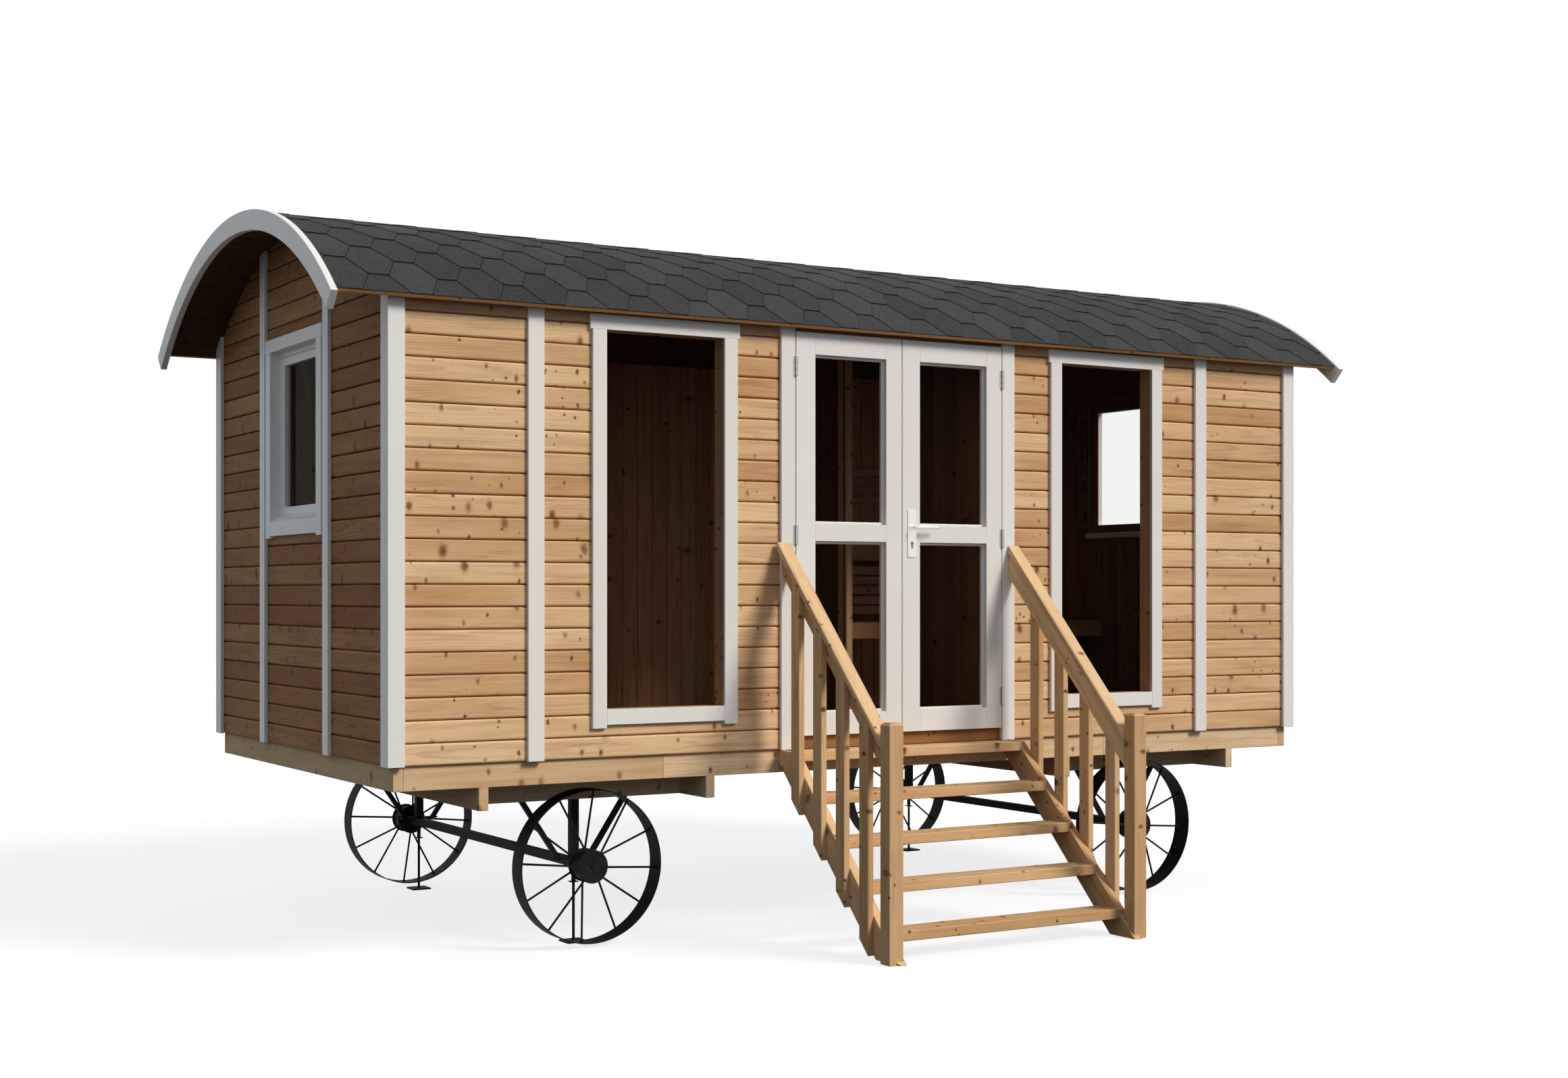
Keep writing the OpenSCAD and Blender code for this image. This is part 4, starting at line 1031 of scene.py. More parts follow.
# Under each tab lies a slightly wider and lower near-black copy that shows as a thin line along
# its lower edges: partly the felt's dark cut edge, partly painted shade.
cut_edge_and_painted_shade = Stock()
levels = range(-1, int(HALF_ARC / EXPOSURE) + 1)
for side in (-1, 1):
    for row in levels:
        shift = PHASE + (0 if row % 2 else HALF_TAB)
        first = math.floor((-DECK_X - shift) / PERIOD)
        last = math.ceil((DECK_X - shift) / PERIOD)
        for k in range(first, last + 1):
            middle = shift + k * PERIOD
            if abs(middle) - HALF_TAB < DECK_X - 0.002:
                tab(stock, middle, row * EXPOSURE, side)
                tab(cut_edge_and_painted_shade, middle, row * EXPOSURE, side, SHADE_W, -1.0)
CAP, CAP_HALF = 0.304, 0.13
for x in np.arange(-DECK_X, DECK_X, CAP):
    ends = (x, min(x + CAP - 0.0015, DECK_X))
    bent_board(stock, ends, DECK_R + DECK_T + 0.002, DECK_R + DECK_T + 0.0075, CAP_HALF / DECK_R)
stock.piece("shingle_tabs", shingle_felt, "shingle_skin")
cut_edge_and_painted_shade.piece("shingle_cut_edges_and_painted_shade", shingle_felt, "shingle_skin")

# %% [markdown]
# ## Doors
#
# Each leaf is four boards and a middle rail around two panes. The rails end against the
# stiles, which leaves the fine joint lines, and a bead runs round each pane.

# %% Leaves
LEAF = cad("door_leaf_right")
LEAF_Y0, LEAF_Y1 = LEAF[0][1], LEAF[1][1]
LEAF_Z0, LEAF_Z1 = LEAF[0][2], LEAF[1][2]
LEAF_X0, LEAF_X1 = LEAF[0][0], LEAF[1][0]
LEAF_RAIL = 0.103
LOCK_Z0, LOCK_Z1 = 0.975, 1.057
BEAD_IN, BEAD_W = 0.020, 0.012
LIGHT_W = 0.400
LEFT_STILE, RIGHT_STILE = 0.090, 0.102


def leaf(stock, s, meeting_stile):
    """Stiles over the full height, rails between them and beads round the lights."""
    x0 = LEAF_X0 + meeting_stile
    x1 = x0 + LIGHT_W
    y = (LEAF_Y0, LEAF_Y1)
    for x in ((LEAF_X0, x0), (x1, LEAF_X1)):
        stock.board(flip(s, *x), y, (LEAF_Z0, LEAF_Z1), arris=0.0012)
    rails = ((LEAF_Z0, LEAF_Z0 + LEAF_RAIL), (LOCK_Z0, LOCK_Z1), (LEAF_Z1 - LEAF_RAIL, LEAF_Z1))
    for z in rails:
        stock.board(flip(s, x0, x1), y, z, arris=0.0012)
    bead_y = (LEAF_Y0 + BEAD_IN, LEAF_Y1)
    for z0, z1 in ((rails[0][1], rails[1][0]), (rails[1][1], rails[2][0])):
        for x in ((x0, x0 + BEAD_W), (x1 - BEAD_W, x1)):
            stock.board(flip(s, *x), bead_y, (z0, z1), grain=2, arris=0.003)
        for z in ((z0, z0 + BEAD_W), (z1 - BEAD_W, z1)):
            stock.board(flip(s, x0 + BEAD_W, x1 - BEAD_W), bead_y, z, arris=0.003)


leaf(stock, -1, LEFT_STILE)
stock.piece("left_leaf_joinery", white, "door_leaf_left", body="door_left")
leaf(stock, 1, RIGHT_STILE)
stock.piece("right_leaf_joinery", white, "door_leaf_right", body="door_right")

# %% Door frame
STOP_W = 0.030
low, high = cad("door_header")
stock.upright((low[0], high[0]), (low[1], high[1]), low[2])
stock.piece("door_header_board", edging, "door_header")
low, high = cad("door_stops")
for s in (-1, 1):
    stock.board(flip(s, high[0] - STOP_W, high[0]), (low[1], high[1]), (low[2], high[2]))
head_x = (low[0] + STOP_W + GAP, high[0] - STOP_W - GAP)
stock.board(head_x, (low[1], high[1]), (high[2] - STOP_W, high[2]))
stock.piece("door_stop_boards", dark, "door_stops")
stock.board(*zip(*cad("door_sill")))
stock.piece("door_sill_plank", sill_wood, "door_sill")

# %% [markdown]
# ## Base and steps
#
# The base is a frame of beams with joists between them, carried on bearers and rails. The
# steps hang on it. Their boards run along a slope, so their outlines are drawn in the
# plane of the slope and the grain follows it.

# %% Base timber
BEAM = cad("base_frame")
BEAM_X, BEAM_Y = BEAM[1][0], BEAM[1][1]
BEAM_Z = (BEAM[0][2], BEAM[1][2])
BEAM_T = 0.045
BUTT_X = 1.280
JOIST_PITCH = 0.620

for s in (-1, 1):
    stock.board(flip(s, BEAM_X - BEAM_T, BEAM_X), (-BEAM_Y, BEAM_Y), BEAM_Z, arris=0.002)
    y = flip(s, BEAM_Y - BEAM_T, BEAM_Y)
    for e in (-1, 1):
        stock.board(flip(e, BUTT_X + GAP, BEAM_X - BEAM_T - GAP), y, BEAM_Z, arris=0.002)
    stock.board((-BUTT_X, BUTT_X), y, BEAM_Z, arris=0.002)
clear = 2 * (BEAM_X - BEAM_T)
joists = math.ceil(clear / JOIST_PITCH)
joist_y = (-BEAM_Y + BEAM_T + GAP, BEAM_Y - BEAM_T - GAP)
for i in range(1, joists):
    x = i * clear / joists - clear / 2
    stock.board((x - BEAM_T / 2, x + BEAM_T / 2), joist_y, BEAM_Z)
stock.piece("base_beams", timber, "base_frame")

AXLE_X = (cad("wheel_front_right")[0][0] + cad("wheel_front_right")[1][0]) / 2
BEARER_Z = (cad("cross_bearers")[0][2], BEAM_Z[0])
BEARER_HALF = 0.556
for s in (-1, 1):
    for x in (AXLE_X - BEARER_HALF, AXLE_X + BEARER_HALF):
        thick = flip(s, x - BEAM_T / 2, x + BEAM_T / 2)
        stock.board(thick, (-BEAM_Y, BEAM_Y), BEARER_Z, arris=0.002)
stock.piece("bearers", timber, "cross_bearers")
RAIL_Y = cad("long_rails")[1][1] - BEAM_T / 2
for sx, sy in signs:
    x = flip(sx, AXLE_X - BEARER_HALF + BEAM_T / 2, AXLE_X + BEARER_HALF - BEAM_T / 2)
    stock.board(x, flip(sy, RAIL_Y - BEAM_T / 2, RAIL_Y + BEAM_T / 2), BEARER_Z)
stock.piece("rails", timber, "long_rails")

# %% Steps
TREADS = cad("stair_treads")
RISE, GOING = 0.1815, 0.186
SLOPE = RISE / GOING
TREAD_D, TREAD_T = 0.140, 0.045
NOSE_Y = TREADS[0][1] + 4 * GOING
TREAD_Z = TREADS[1][2]
STRINGER = cad("stair_stringers")
STRINGER_T, NOSING = 0.044, 0.030
STRINGER_X = (STRINGER[1][0] - STRINGER_T, STRINGER[1][0])
EDGE_Y = NOSE_Y + NOSING
STRINGER_D = 0.179
UP_SLOPE = (0, GOING, RISE)


def lower_z(y):
    """Height of the stringer's lower edge at y."""
    return (y - STRINGER_D - EDGE_Y) * SLOPE


for i in range(5):
    y = NOSE_Y - i * GOING
    z = TREAD_Z - i * RISE
    stock.board((TREADS[0][0], TREADS[1][0]), (y, y + TREAD_D), (z - TREAD_T, z), arris=0.003)
stock.piece("tread_boards", stairs_wood, "stair_treads")

top = STRINGER[1][2]
foot = EDGE_Y + GROUND / SLOPE
outline = [(EDGE_Y, top), (-BEAM_Y, top), (-BEAM_Y, lower_z(-BEAM_Y))]
outline += [(foot + STRINGER_D, GROUND), (foot, GROUND)]
for s in (-1, 1):
    stock.prism(outline, 0, sorted(flip(s, *STRINGER_X)), grain=UP_SLOPE, arris=0.002)
stock.piece("stringer_boards", stairs_wood, "stair_stringers")

# %% Newels
NEWEL = cad("stair_newels")
NEWEL_W = NEWEL[1][1] - NEWEL[0][1]
NEWEL_TOP = NEWEL[1][2]


def newel(stock, x, y, z0, z1, chamfer=0.012, arris=0.002):
    """A square post: rings of a cut square, the last one drawn in to a flat pyramid."""
    c = np.array([(x[0] + x[1]) / 2, (y[0] + y[1]) / 2])
    half = (x[1] - x[0]) / 2
    square = cut_corners(half * np.array([(-1.0, -1), (1, -1), (1, 1), (-1, 1)]), arris)
    shrink = [1 - arris / half, 1, 1, 1 - chamfer / half]
    heights = [z0, z0 + arris, z1 - chamfer, z1]
    points = np.concatenate(
        [np.column_stack([c + k * square, np.full(8, h)]) for k, h in zip(shrink, heights)]
    )
    stock.add(points, ring_faces(4, 8), stock.log(points, 2, None), rng.random())


for s in (-1, 1):
    x = sorted(flip(s, NEWEL[1][0] - NEWEL_W, NEWEL[1][0]))
    newel(stock, x, (NEWEL[0][1], NEWEL[1][1]), GROUND, NEWEL_TOP)
stock.piece("newel_posts", stairs_wood, "stair_newels")

# %% Handrails and balusters
RAIL = cad("stair_handrails")
RAIL_TOP = RAIL[1][2]
CAP_Y0, CAP_Y1 = RAIL[0][1], RAIL[1][1]
CAP_W, CAP_T, UNDER_H = 0.070, 0.029, 0.080
RAIL_FOOT = 0.085
CAP_SLOPE = (RAIL_TOP - RAIL_FOOT) / (CAP_Y1 - CAP_Y0)
LEAN = math.sqrt(1 + CAP_SLOPE**2)
CAP_V, UNDER_V = CAP_T * LEAN, UNDER_H * LEAN
BALUSTER_D, BALUSTER_T, PITCH = 0.070, 0.030, 0.190
CAP_X = RAIL[1][0] - CAP_W
UP_RAIL = (0, 1, CAP_SLOPE)


def cap_z(y):
    """Height of the handrail's top at y."""
    return RAIL_TOP + (y - CAP_Y1) * CAP_SLOPE


def sloping(stock, x, drop, height, arris):
    """A board under the handrail's top line, cut upright at both ends."""
    outline = [
        (CAP_Y1, cap_z(CAP_Y1) - drop), (CAP_Y0, cap_z(CAP_Y0) - drop),
        (CAP_Y0, cap_z(CAP_Y0) - drop - height), (CAP_Y1, cap_z(CAP_Y1) - drop - height),
    ]
    stock.prism(outline, 0, sorted(x), grain=UP_RAIL, arris=arris)


for s in (-1, 1):
    sloping(stock, flip(s, CAP_X, CAP_X + CAP_W), 0, CAP_V, 0.004)
    sloping(stock, flip(s, CAP_X + 0.004, STRINGER_X[1]), CAP_V, UNDER_V, 0.002)
stock.piece("handrail_boards", stairs_wood, "stair_handrails")

BALUSTER = cad("stair_balusters")
FIRST_Y = BALUSTER[1][1] - BALUSTER_D
for s in (-1, 1):
    for i in range(4):
        y0 = FIRST_Y - i * PITCH
        y1 = y0 + BALUSTER_D
        outline = [(y0, lower_z(y0)), (y1, lower_z(y1))]
        outline += [(y1, cap_z(y1) - CAP_V), (y0, cap_z(y0) - CAP_V)]
        x = sorted(flip(s, STRINGER_X[1], STRINGER_X[1] + BALUSTER_T))
        stock.prism(outline, 0, x, grain=(0, 0, 1), arris=0.002)
stock.piece("baluster_boards", stairs_wood, "stair_balusters")

# %% [markdown]
# ## Inside
#
# Through the glass show the floor, the partition with its posts, and the benches.

# %% Floor, partition and benches
edges = np.linspace(-INNER_Y, INNER_Y, 21)
for y in zip(edges, edges[1:]):
    stock.board((-INNER_X, INNER_X), y, (0.0, FLOOR_T), arris=0.0015)
stock.piece("floor_boards", inside, "floor")

PART = cad("partition")
PART_FRONT, PART_BACK = 0.910, 0.959
POSTS = cad("partition_posts")
faces = (PART[0][0], PART[0][0] + LINING_T, PART[1][0] - LINING_T, PART[1][0])
for y0, y1 in ((-INNER_Y, -INNER_Y + PART_FRONT), (INNER_Y - PART_BACK, INNER_Y)):
    stock.upright(faces[1:3], (y0, y1), FLOOR_T, tone=CORE_TONE)
    edges = np.linspace(y0, y1, round((y1 - y0) / LINING_W) + 1)
    for a, b in zip(edges, edges[1:]):
        for x in (faces[:2], faces[2:]):
            stock.upright(x, (a + SEAM * (a > y0), b - SEAM * (b < y1)), FLOOR_T, arris=0.003)
stock.piece("partition_boards", inside, "partition")
POST_W, STILE_W, STILE_T = 0.0535, 0.024, 0.026
stile_y = POSTS[0][1] + STILE_W
post_y = POSTS[1][1] - POST_W
stock.upright((POSTS[0][0], POSTS[1][0]), (post_y, POSTS[1][1]), FLOOR_T, arris=0.003)
stock.upright((POSTS[0][0], POSTS[0][0] + STILE_T), (POSTS[0][1], stile_y), FLOOR_T, arris=0.003)
stock.piece("partition_post_pair", posts_wood, "partition_posts")
# A black strip fills the gap between the stile and the post, set 3 mm back.
stock.upright(
    (POSTS[0][0] + 0.003, POSTS[0][0] + STILE_T), (stile_y + 0.0002, post_y - 0.0002), FLOOR_T
)
stock.piece("passage_black_strip", black, "partition_posts", slot="steel")

BENCH = cad("benches")
BENCH_X = (BENCH[0][0], BENCH[1][0])
HIGH_D, LOW_H = 0.590, 0.537
HIGH_Y = BENCH[1][1] - HIGH_D
SEAT_T, FASCIA_H, BENCH_T, SEAT_SEAM = 0.028, 0.092, 0.020, 0.003
HIGH_Z = BENCH[1][2]
LOW_Z = FLOOR_T + LOW_H
for y0, y1, z, boards in ((BENCH[0][1], HIGH_Y - GAP, LOW_Z, 4), (HIGH_Y, BENCH[1][1], HIGH_Z, 6)):
    stock.board(BENCH_X, (y0, y0 + BENCH_T), (z - FASCIA_H, z), arris=0.003)
    edges = np.linspace(y0 + BENCH_T, y1, boards + 1)
    for a, b in zip(edges, edges[1:]):
        stock.board(BENCH_X, (a + SEAT_SEAM, b - SEAT_SEAM), (z - SEAT_T, z), arris=0.003)
stock.piece("bench_boards", benches_wood, "benches")
SLAT_H, SLAT_PITCH = 0.048, 0.058
UNDER_SEAT, BACKREST = 0.033, 0.270
for z in HIGH_Z - FASCIA_H - UNDER_SEAT - SLAT_H - SLAT_PITCH * np.arange(5):
    stock.board(BENCH_X, (HIGH_Y, HIGH_Y + BENCH_T), (z, z + SLAT_H), arris=0.003)
for z in HIGH_Z + BACKREST + SLAT_PITCH * np.arange(4):
    stock.board(BENCH_X, (INNER_Y - BENCH_T, INNER_Y), (z, z + SLAT_H), arris=0.003)
stock.piece("bench_slat_boards", benches_wood, "bench_slats")

# %% [markdown]
# ## Door furniture
#
# A lever is neither a cylinder nor a box: its section changes all the way from the round
# neck to the flat, tapering grip. It is a loft, rings of points along a bent path. The
# hinges are turned parts, so their knuckles are profiles carried round the pin.


# %% Turned and lofted metal
def turned(stock, centre, axis, profile, sides=32):
    """A profile of (distance along the axis, radius) carried round it and closed."""
    profile = np.asarray(profile, float)
    t = angles(sides)
    points = np.zeros((len(profile), sides, 3))
    points[:, :, axis] = profile[:, :1]
    points[:, :, (axis + 1) % 3] = profile[:, 1:] * np.cos(t)
    points[:, :, (axis + 2) % 3] = profile[:, 1:] * np.sin(t)
    rings(stock, points + np.asarray(centre, float))


def rings(stock, points):
    """Closed rings joined to each other, with a cap at both ends."""
    flat = points.reshape(-1, 3)
    stock.add(flat, ring_faces(*points.shape[:2]), flat, 0.5)


def loft(stock, path, height, depth, sides=24, power=2.6):
    """Superellipse rings |u|^p + |v|^p = 1 across a path in the XY plane, Z up."""
    path = np.asarray(path, float)
    along = np.gradient(path, axis=0)
    along /= np.linalg.norm(along, axis=1)[:, None]
    side = np.cross([0.0, 0, 1], along)
    t = angles(sides)
    u = np.sign(np.cos(t)) * np.abs(np.cos(t)) ** (2 / power)
    v = np.sign(np.sin(t)) * np.abs(np.sin(t)) ** (2 / power)
    points = (
        path[:, None]
        + side[:, None] * (np.asarray(depth)[:, None] * u)[:, :, None]
        + np.array([0, 0, 1.0]) * (np.asarray(height)[:, None] * v)[:, :, None]
    )
    rings(stock, points)


def chamfered(low, high, radius, cut=0.0006):
    """Profile of a turned part between two heights, its edges taken off."""
    return [(low, radius - cut), (low + cut, radius), (high - cut, radius), (high, radius - cut)]


# %% Hinges
HINGE_H = 0.091
KNUCKLE_R, PIN_R = 0.005, 0.0025
HINGE_X, HINGE_Y = 0.6005, -TRIM_Y - 0.007
HINGE_Z = [LEAF_Z0 + 0.158, (LEAF_Z0 + LEAF_Z1) / 2 - 0.006, LEAF_Z1 - 0.163]
PLATE_T = 0.0018
SCREW_PITCH, SCREW = 0.033, [(-0.0004, 0.0018), (0.0, 0.0026), (0.001, 0.0026)]


def hinge_leaf(stock, marks, s, x0, x1, z):
    """The plate that shows beside the pin, with three countersunk screws."""
    y = (-TRIM_Y - PLATE_T, -TRIM_Y + 0.0002)
    stock.board(flip(s, x0, x1), y, (z - HINGE_H / 2, z + HINGE_H / 2), arris=0.0005)
    middle = s * (x0 + x1 + math.copysign(0.005, x1 - HINGE_X)) / 2
    for dz in (-SCREW_PITCH, 0.0, SCREW_PITCH):
        turned(stock, (middle, y[0], z + dz), 1, SCREW, 16)
        slot_x, slot_z = (middle - 0.0014, middle + 0.0014), (z + dz - 0.0004, z + dz + 0.0004)
        marks.board(slot_x, (y[0] - 0.0006, y[0]), slot_z, arris=0.0001)


def hinge_set(s, on_frame):
    """Knuckles, pin and plate of three hinges; the leaf has the middle knuckle of each."""
    stock, marks = Stock(), Stock()
    third = HINGE_H / 3
    for z in HINGE_Z:
        for k in (-1, 1) if on_frame else (0,):
            low, high = (k - 0.5) * third + 0.0004, (k + 0.5) * third - 0.0004
            turned(stock, (s * HINGE_X, HINGE_Y, z), 2, chamfered(low, high, KNUCKLE_R))
        if on_frame:
            pin = chamfered(-HINGE_H / 2, HINGE_H / 2, PIN_R)
            turned(stock, (s * HINGE_X, HINGE_Y, z), 2, pin)
            hinge_leaf(stock, marks, s, 0.6014, 0.6142, z)
        else:
            hinge_leaf(stock, marks, s, 0.5868, 0.5996, z)
    return stock, marks


for name, s, body, node in (
    ("left", -1, "door_left", "left_leaf_hinges"),
    ("right", 1, "door_right", "right_leaf_hinges"),
):
    for on_frame in (True, False):
        stock, marks = hinge_set(s, on_frame)
        owner, rider = ("frame_hinges", "cabin") if on_frame else (node, body)
        label = f"{name}_{'frame' if on_frame else 'leaf'}_hinge"
        stock.piece(label + "_steel", zinc, owner, body=rider, smooth=True)
        marks.piece(label + "_slots", black, owner, body=rider, slot="steel")

# %% Handle plates and lever
PLATES = cad("handle_plates")
LEVER = cad("lever_handle")
PLATE_UP, PLATE_HALF, LOCK_DOWN = 0.085, 0.024, 0.078
LEVER_X, LEVER_Z = (PLATES[0][0] + PLATES[1][0]) / 2, PLATES[1][2] - PLATE_UP
NECK_R, GRIP_H = 0.0074, 0.0098


def rounded(x, z, radius, steps=5):
    """A rectangle's outline with quarter circles at its corners."""
    t = np.radians(np.linspace(0, 90, steps))
    arc = radius * np.stack([np.cos(t), np.sin(t)], axis=1)
    out = []
    for k, (cx, cz) in enumerate(
        [(x[1] - radius, z[1] - radius), (x[0] + radius, z[1] - radius),
         (x[0] + radius, z[0] + radius), (x[1] - radius, z[0] + radius)]
    ):
        c, s_ = math.cos(k * math.pi / 2), math.sin(k * math.pi / 2)
        out.append(np.array([cx, cz]) + arc @ np.array([[c, s_], [-s_, c]]))
    return np.concatenate(out)


def lock_outline(x, z, grow=0.0):
    """A lock cylinder's face: a circle with a narrower stem below it."""
    r, half, drop = 0.0085 + grow, 0.005 + grow, 0.0245 + grow
    start = math.asin(half / r)
    t = np.linspace(-math.pi / 2 + start, 1.5 * math.pi - start, 25)
    circle = np.stack([x + r * np.cos(t), z + r * np.sin(t)], axis=1)
    turn = np.linspace(math.pi, 2 * math.pi, 9)
    stem = np.stack([x + half * np.cos(turn), z - drop + half + half * np.sin(turn)], axis=1)
    return np.concatenate([circle, stem])


def plate(stock, painted_shadow_and_keyway, locks, outer, inner):
    """A handle plate on one face of the leaf, with its lock cylinder."""
    out = math.copysign(1, outer - inner)
    span = sorted((outer, inner))
    x = (LEVER_X - PLATE_HALF, LEVER_X + PLATE_HALF)
    outline = rounded(x, (PLATES[0][2], PLATES[1][2]), 0.004)[:, ::-1]
    stock.prism(outline, 1, span, grain=(0, 0, 1), arris=0.0006, cut=True)
    key_z = LEVER_Z - LOCK_DOWN
    # A black outline a little wider than the lock cylinder lies under it: painted shadow round the
    # cylinder. A black slot marks the keyway.
    for solid, grow, rise in ((painted_shadow_and_keyway, 0.0009, 0.0001), (locks, 0.0, 0.0006)):
        face = sorted((outer - out * 0.003, outer + out * rise))
        outline = lock_outline(LEVER_X, key_z, grow)[:, ::-1]
        solid.prism(outline, 1, face, grain=(0, 0, 1), arris=0.0002, cut=False)
    slot = sorted((outer, outer + out * 0.0007))
    slot_x, slot_z = (LEVER_X - 0.0008, LEVER_X + 0.0008), (key_z - 0.006, key_z + 0.004)
    painted_shadow_and_keyway.board(slot_x, slot, slot_z, arris=0.0001)
    rose = [(0.0, 0.012), (0.002, 0.0118), (0.0028, 0.0105)]
    if out < 0:
        rose = [(-a, r) for a, r in rose[::-1]]
    turned(stock, (LEVER_X, outer, LEVER_Z), 1, rose)


painted_shadow_and_keyway, locks = Stock(), Stock()
plate(stock, painted_shadow_and_keyway, locks, PLATES[0][1], LEAF_Y0)
plate(stock, painted_shadow_and_keyway, locks, PLATES[1][1], LEAF_Y1)
stock.piece("lever_plates", nickel, "handle_plates", body="door_right", smooth=True)
painted_shadow_and_keyway.piece("lock_painted_shadow_and_keyway", black, "handle_plates", body="door_right", slot="steel")
locks.piece("lock_cylinders", brushed, "handle_plates", body="door_right")


def grip(stock, face, out):
    """Neck and grip: a straight run, a quarter bend and a tapering arm."""
    reach = abs(face - (LEVER[0][1] if out < 0 else LEVER[1][1])) - 0.0078
    bend = 0.013
    t = np.radians(np.linspace(0, 90, 9))[1:-1]
    neck = [(LEVER_X, face + out * d) for d in np.linspace(0.0006, reach - bend, 5)]
    turn = [
        (LEVER_X + bend * (1 - math.cos(a)), face + out * (reach - bend + bend * math.sin(a)))
        for a in t
    ]
    x_end = LEVER[1][0] - 0.001
    arm_x = np.linspace(LEVER_X + bend, x_end, 22)
    k = (arm_x - arm_x[0]) / (x_end - arm_x[0])
    arm = np.stack([arm_x, face + out * (reach + 0.003 * np.sin(np.pi * k))], axis=1)
    path = np.concatenate([np.array(neck), np.array(turn), arm])
    path = np.column_stack([path, np.full(len(path), LEVER_Z)])
    swell = GRIP_H - 0.0048 * k**1.3
    tip = np.sqrt(np.clip(1 - np.clip((k - 0.955) / 0.045, 0, 1) ** 2, 0.02, 1))
    lead = len(neck) + len(turn)
    thicker = np.linspace(NECK_R, GRIP_H, len(turn))
    height = np.concatenate([np.full(len(neck), NECK_R), thicker, swell * tip])
    depth = np.concatenate([np.full(lead, NECK_R), (0.0062 - 0.0028 * k) * tip])
    loft(stock, path, height, depth)


grip(stock, LEAF_Y0 - 0.004, -1)
grip(stock, LEAF_Y1 + 0.004, 1)
stock.piece("lever", nickel, "lever_handle", body="door_lever", smooth=True)

# %% [markdown]
# ## Wheels
#
# A wheel is a flat iron band, a drum and twelve thin rods that lean out to the drum's two
# faces in turn. Band and drum are profiles carried round the axle; the rods are straight.

# %% Spoked wheels
WHEEL = cad("wheel_front_right")
WHEEL_R = (WHEEL[1][2] - WHEEL[0][2]) / 2
AXLE_Z = (WHEEL[0][2] + WHEEL[1][2]) / 2
RIM_W, RIM_T, HUB_R, DRUM_R = 0.105, 0.005, 0.075, 0.066
SPOKES, SPOKE_R, SPOKE_TURN = 12, 0.005, math.radians(5)
WHEEL_Y = 1.1195
HUB_OUT = WHEEL_Y + RIM_W / 2 + 0.002
HUB_IN = HUB_OUT - 0.100


def closed_ring(stock, centre, profile, sides=120):
    """A closed profile of (along Y, radius) carried round the axle: a band."""
    profile = np.asarray(profile, float)
    t = angles(sides)
    across = np.broadcast_to(profile[:, 0], (sides, len(profile)))
    round_x, round_z = (profile[:, 1] * turn(t)[:, None] for turn in (np.cos, np.sin))
    points = np.stack([round_x, across, round_z], axis=-1) + centre
    flat = points.reshape(-1, 3)
    stock.add(flat, turned_over(ring_faces(sides, len(profile), closed=True)), flat, 0.5)


def rod(stock, start, end, radius, sides=10):
    """A straight round bar between two points."""
    start, end = np.asarray(start, float), np.asarray(end, float)
    along = (end - start) / np.linalg.norm(end - start)
    side = np.cross(along, [0.0, 1, 0])
    side /= np.linalg.norm(side)
    up = np.cross(along, side)
    t = angles(sides)
    ring = radius * (np.cos(t)[:, None] * side + np.sin(t)[:, None] * up)
    rings(stock, np.stack([start + ring, end + ring]))


def wheel(stock, x, side):
    """Band, drum, discs, bolt and spokes of one wheel; side is -1 in front."""
    c = np.array([x, 0.0, AXLE_Z])
    e = 0.0012
    y0, y1, r0, r1 = WHEEL_Y - RIM_W / 2, WHEEL_Y + RIM_W / 2, WHEEL_R - RIM_T, WHEEL_R
    band = [(y0, r0 + e), (y0 + e, r0), (y1 - e, r0), (y1, r0 + e), (y1, r1 - e), (y1 - e, r1),
            (y0 + e, r1), (y0, r1 - e)]
    band = np.array(band) * (side, 1)
    closed_ring(stock, c, band if side > 0 else band[::-1])
    drum = [(HUB_IN, HUB_R - 0.001), (HUB_IN + 0.001, HUB_R), (HUB_IN + 0.005, HUB_R),
            (HUB_IN + 0.006, DRUM_R), (HUB_OUT - 0.006, DRUM_R), (HUB_OUT - 0.005, HUB_R),
            (HUB_OUT - 0.001, HUB_R), (HUB_OUT, HUB_R - 0.001), (HUB_OUT, 0.013),
            (HUB_OUT + 0.002, 0.012), (HUB_OUT + 0.002, 0.009)]
    bolt = [(HUB_OUT + 0.001, 0.009), (HUB_OUT + 0.005, 0.009), (HUB_OUT + 0.006, 0.007)]
    for profile, sides in ((drum, 64), (bolt, 6)):
        profile = np.array(profile) * (side, 1)
        turned(stock, c, 1, profile if side > 0 else profile[::-1], sides)
    angle = 2 * np.pi * np.arange(SPOKES) / SPOKES - SPOKE_TURN
    for i, a in enumerate(angle):
        d = np.array([math.cos(a), 0, math.sin(a)])
        y = (HUB_OUT - 0.003) if i % 2 == 0 else (HUB_IN + 0.003)
        start = c + d * (HUB_R - 0.012) + (0, side * y, 0)
        end = c + d * (WHEEL_R - RIM_T / 2) + (0, side * WHEEL_Y, 0)
        rod(stock, start, end, SPOKE_R)
        foot = end - (end - start) * 0.03
        rod(stock, foot, end, SPOKE_R * 1.5, 8)


for sx, sy in signs:
    name = f"wheel_{'front' if sy < 0 else 'back'}_{'left' if sx < 0 else 'right'}"
    wheel(stock, sx * AXLE_X, sy)
    stock.piece(name + "_iron", black, name, body=name, smooth=True)

# %% [markdown]
# ## Finishes on the CAD pieces
#
# Panes, axles and jacks have their true shape already and only need a finish.

# %% Iron and glass
PANES = ("front_window_glass", "end_window_glass", "door_glass_left", "door_glass_right")
for finish, nodes in ((glass, PANES), (black, ("axle_left", "axle_right", "screw_jacks"))):
    for node in nodes:
        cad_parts[node].data.materials.clear()
        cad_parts[node].data.materials.append(finish)

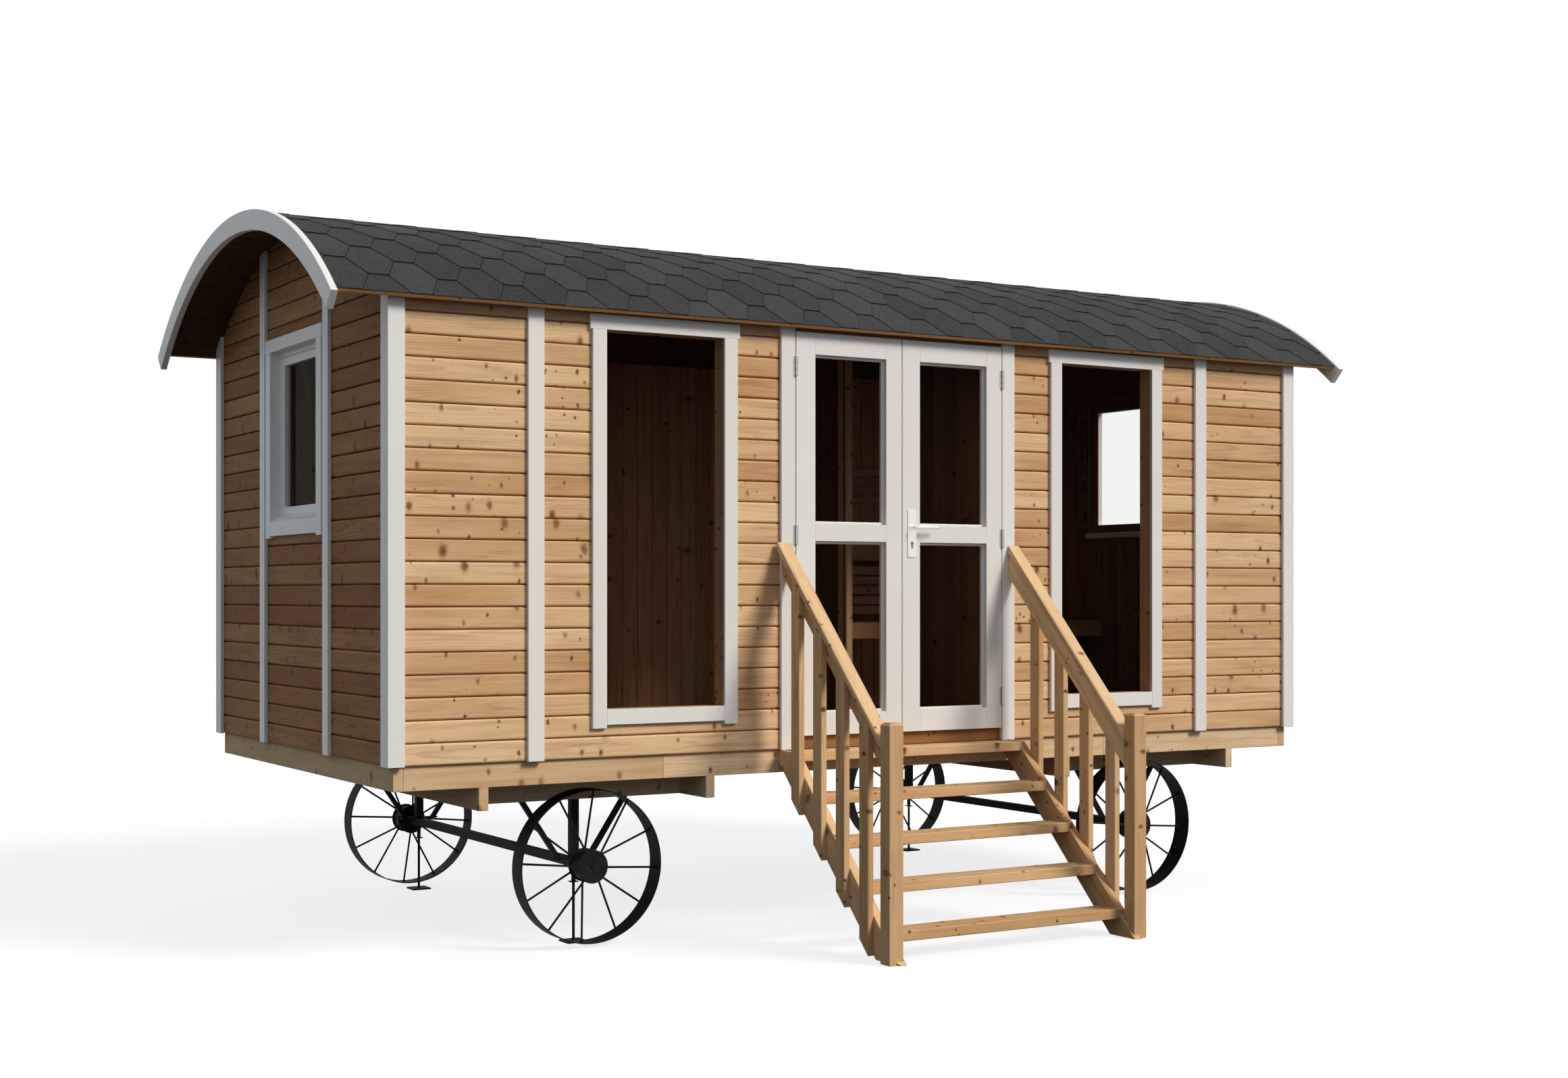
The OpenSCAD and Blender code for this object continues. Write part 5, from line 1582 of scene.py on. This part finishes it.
# %% [markdown]
# ## Studio
#
# A warm sun lamp stands to the right of the doors, and a cool pale sky fills the shade.
# The floor keeps the shadow and shows white to the camera, in mirrors and through glass, but
# it sends little light back up, so the undersides stay dark.

# %% Floor, lights and camera
FLOOR_HALF = 40.0
floor_mesh = bpy.data.meshes.new("studio_floor")
corners = FLOOR_HALF * np.array([(-1.0, -1, 0), (1, -1, 0), (1, 1, 0), (-1, 1, 0)])
corners[:, 2] = -GAP
floor_mesh.from_pydata(corners, [], [[0, 1, 2, 3]])
added("studio_floor", floor_mesh)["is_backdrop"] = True

f = Finish("studio_floor_white")
matt = f.node("ShaderNodeBsdfDiffuse", None, Color=(0.05, 0.05, 0.05))
lifted = f.node("ShaderNodeBsdfDiffuse", None, Color=(0.22, 0.22, 0.22))
glow = f.node("ShaderNodeEmission", None, Color=(1, 1, 1), Strength=0.81)
both = f.node("ShaderNodeAddShader", None, lifted[0], glow[0])
floor_mesh.materials.append(
    f.surface(f.node("ShaderNodeMixShader", None, f.shows_white(), matt[0], both[0]))
)

world = bpy.data.worlds.new("studio")
bpy.context.scene.world = world
f = Finish("studio", world)
f.set(Color=(0.66, 0.79, 0.93), Strength=0.53)
sky = Outputs(f, f.shader)
plain = f.node("ShaderNodeBackground", None, Color=(1, 1, 1))
mixed = f.node("ShaderNodeMixShader", None, f.shows_white(), sky[0], plain[0])
f.surface(mixed, "World Output")

sun_data = bpy.data.lights.new("sun", "SUN")
sun_data.energy = 2.85
sun_data.angle = math.radians(20)
sun_data.color = (1.0, 0.95, 0.885)
added("sun", sun_data).rotation_euler = (math.radians(52), 0, math.radians(34))

camera_data = bpy.data.cameras.new("camera")
camera_data.lens = 46.9
camera_data.sensor_width = 36.0
camera_data.shift_y = 0.0346
camera_data.clip_end = 200
camera = added("camera", camera_data)
camera.location = (-5.5688, ORIGIN[1] - 9.4316, ORIGIN[2] + 0.730)
camera.rotation_euler = (math.radians(90), 0, math.radians(-31.053))
bpy.context.scene.camera = camera
bpy.context.scene.view_settings.view_transform = "Standard"

# %% The model's bounds, without the floor
low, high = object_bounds()
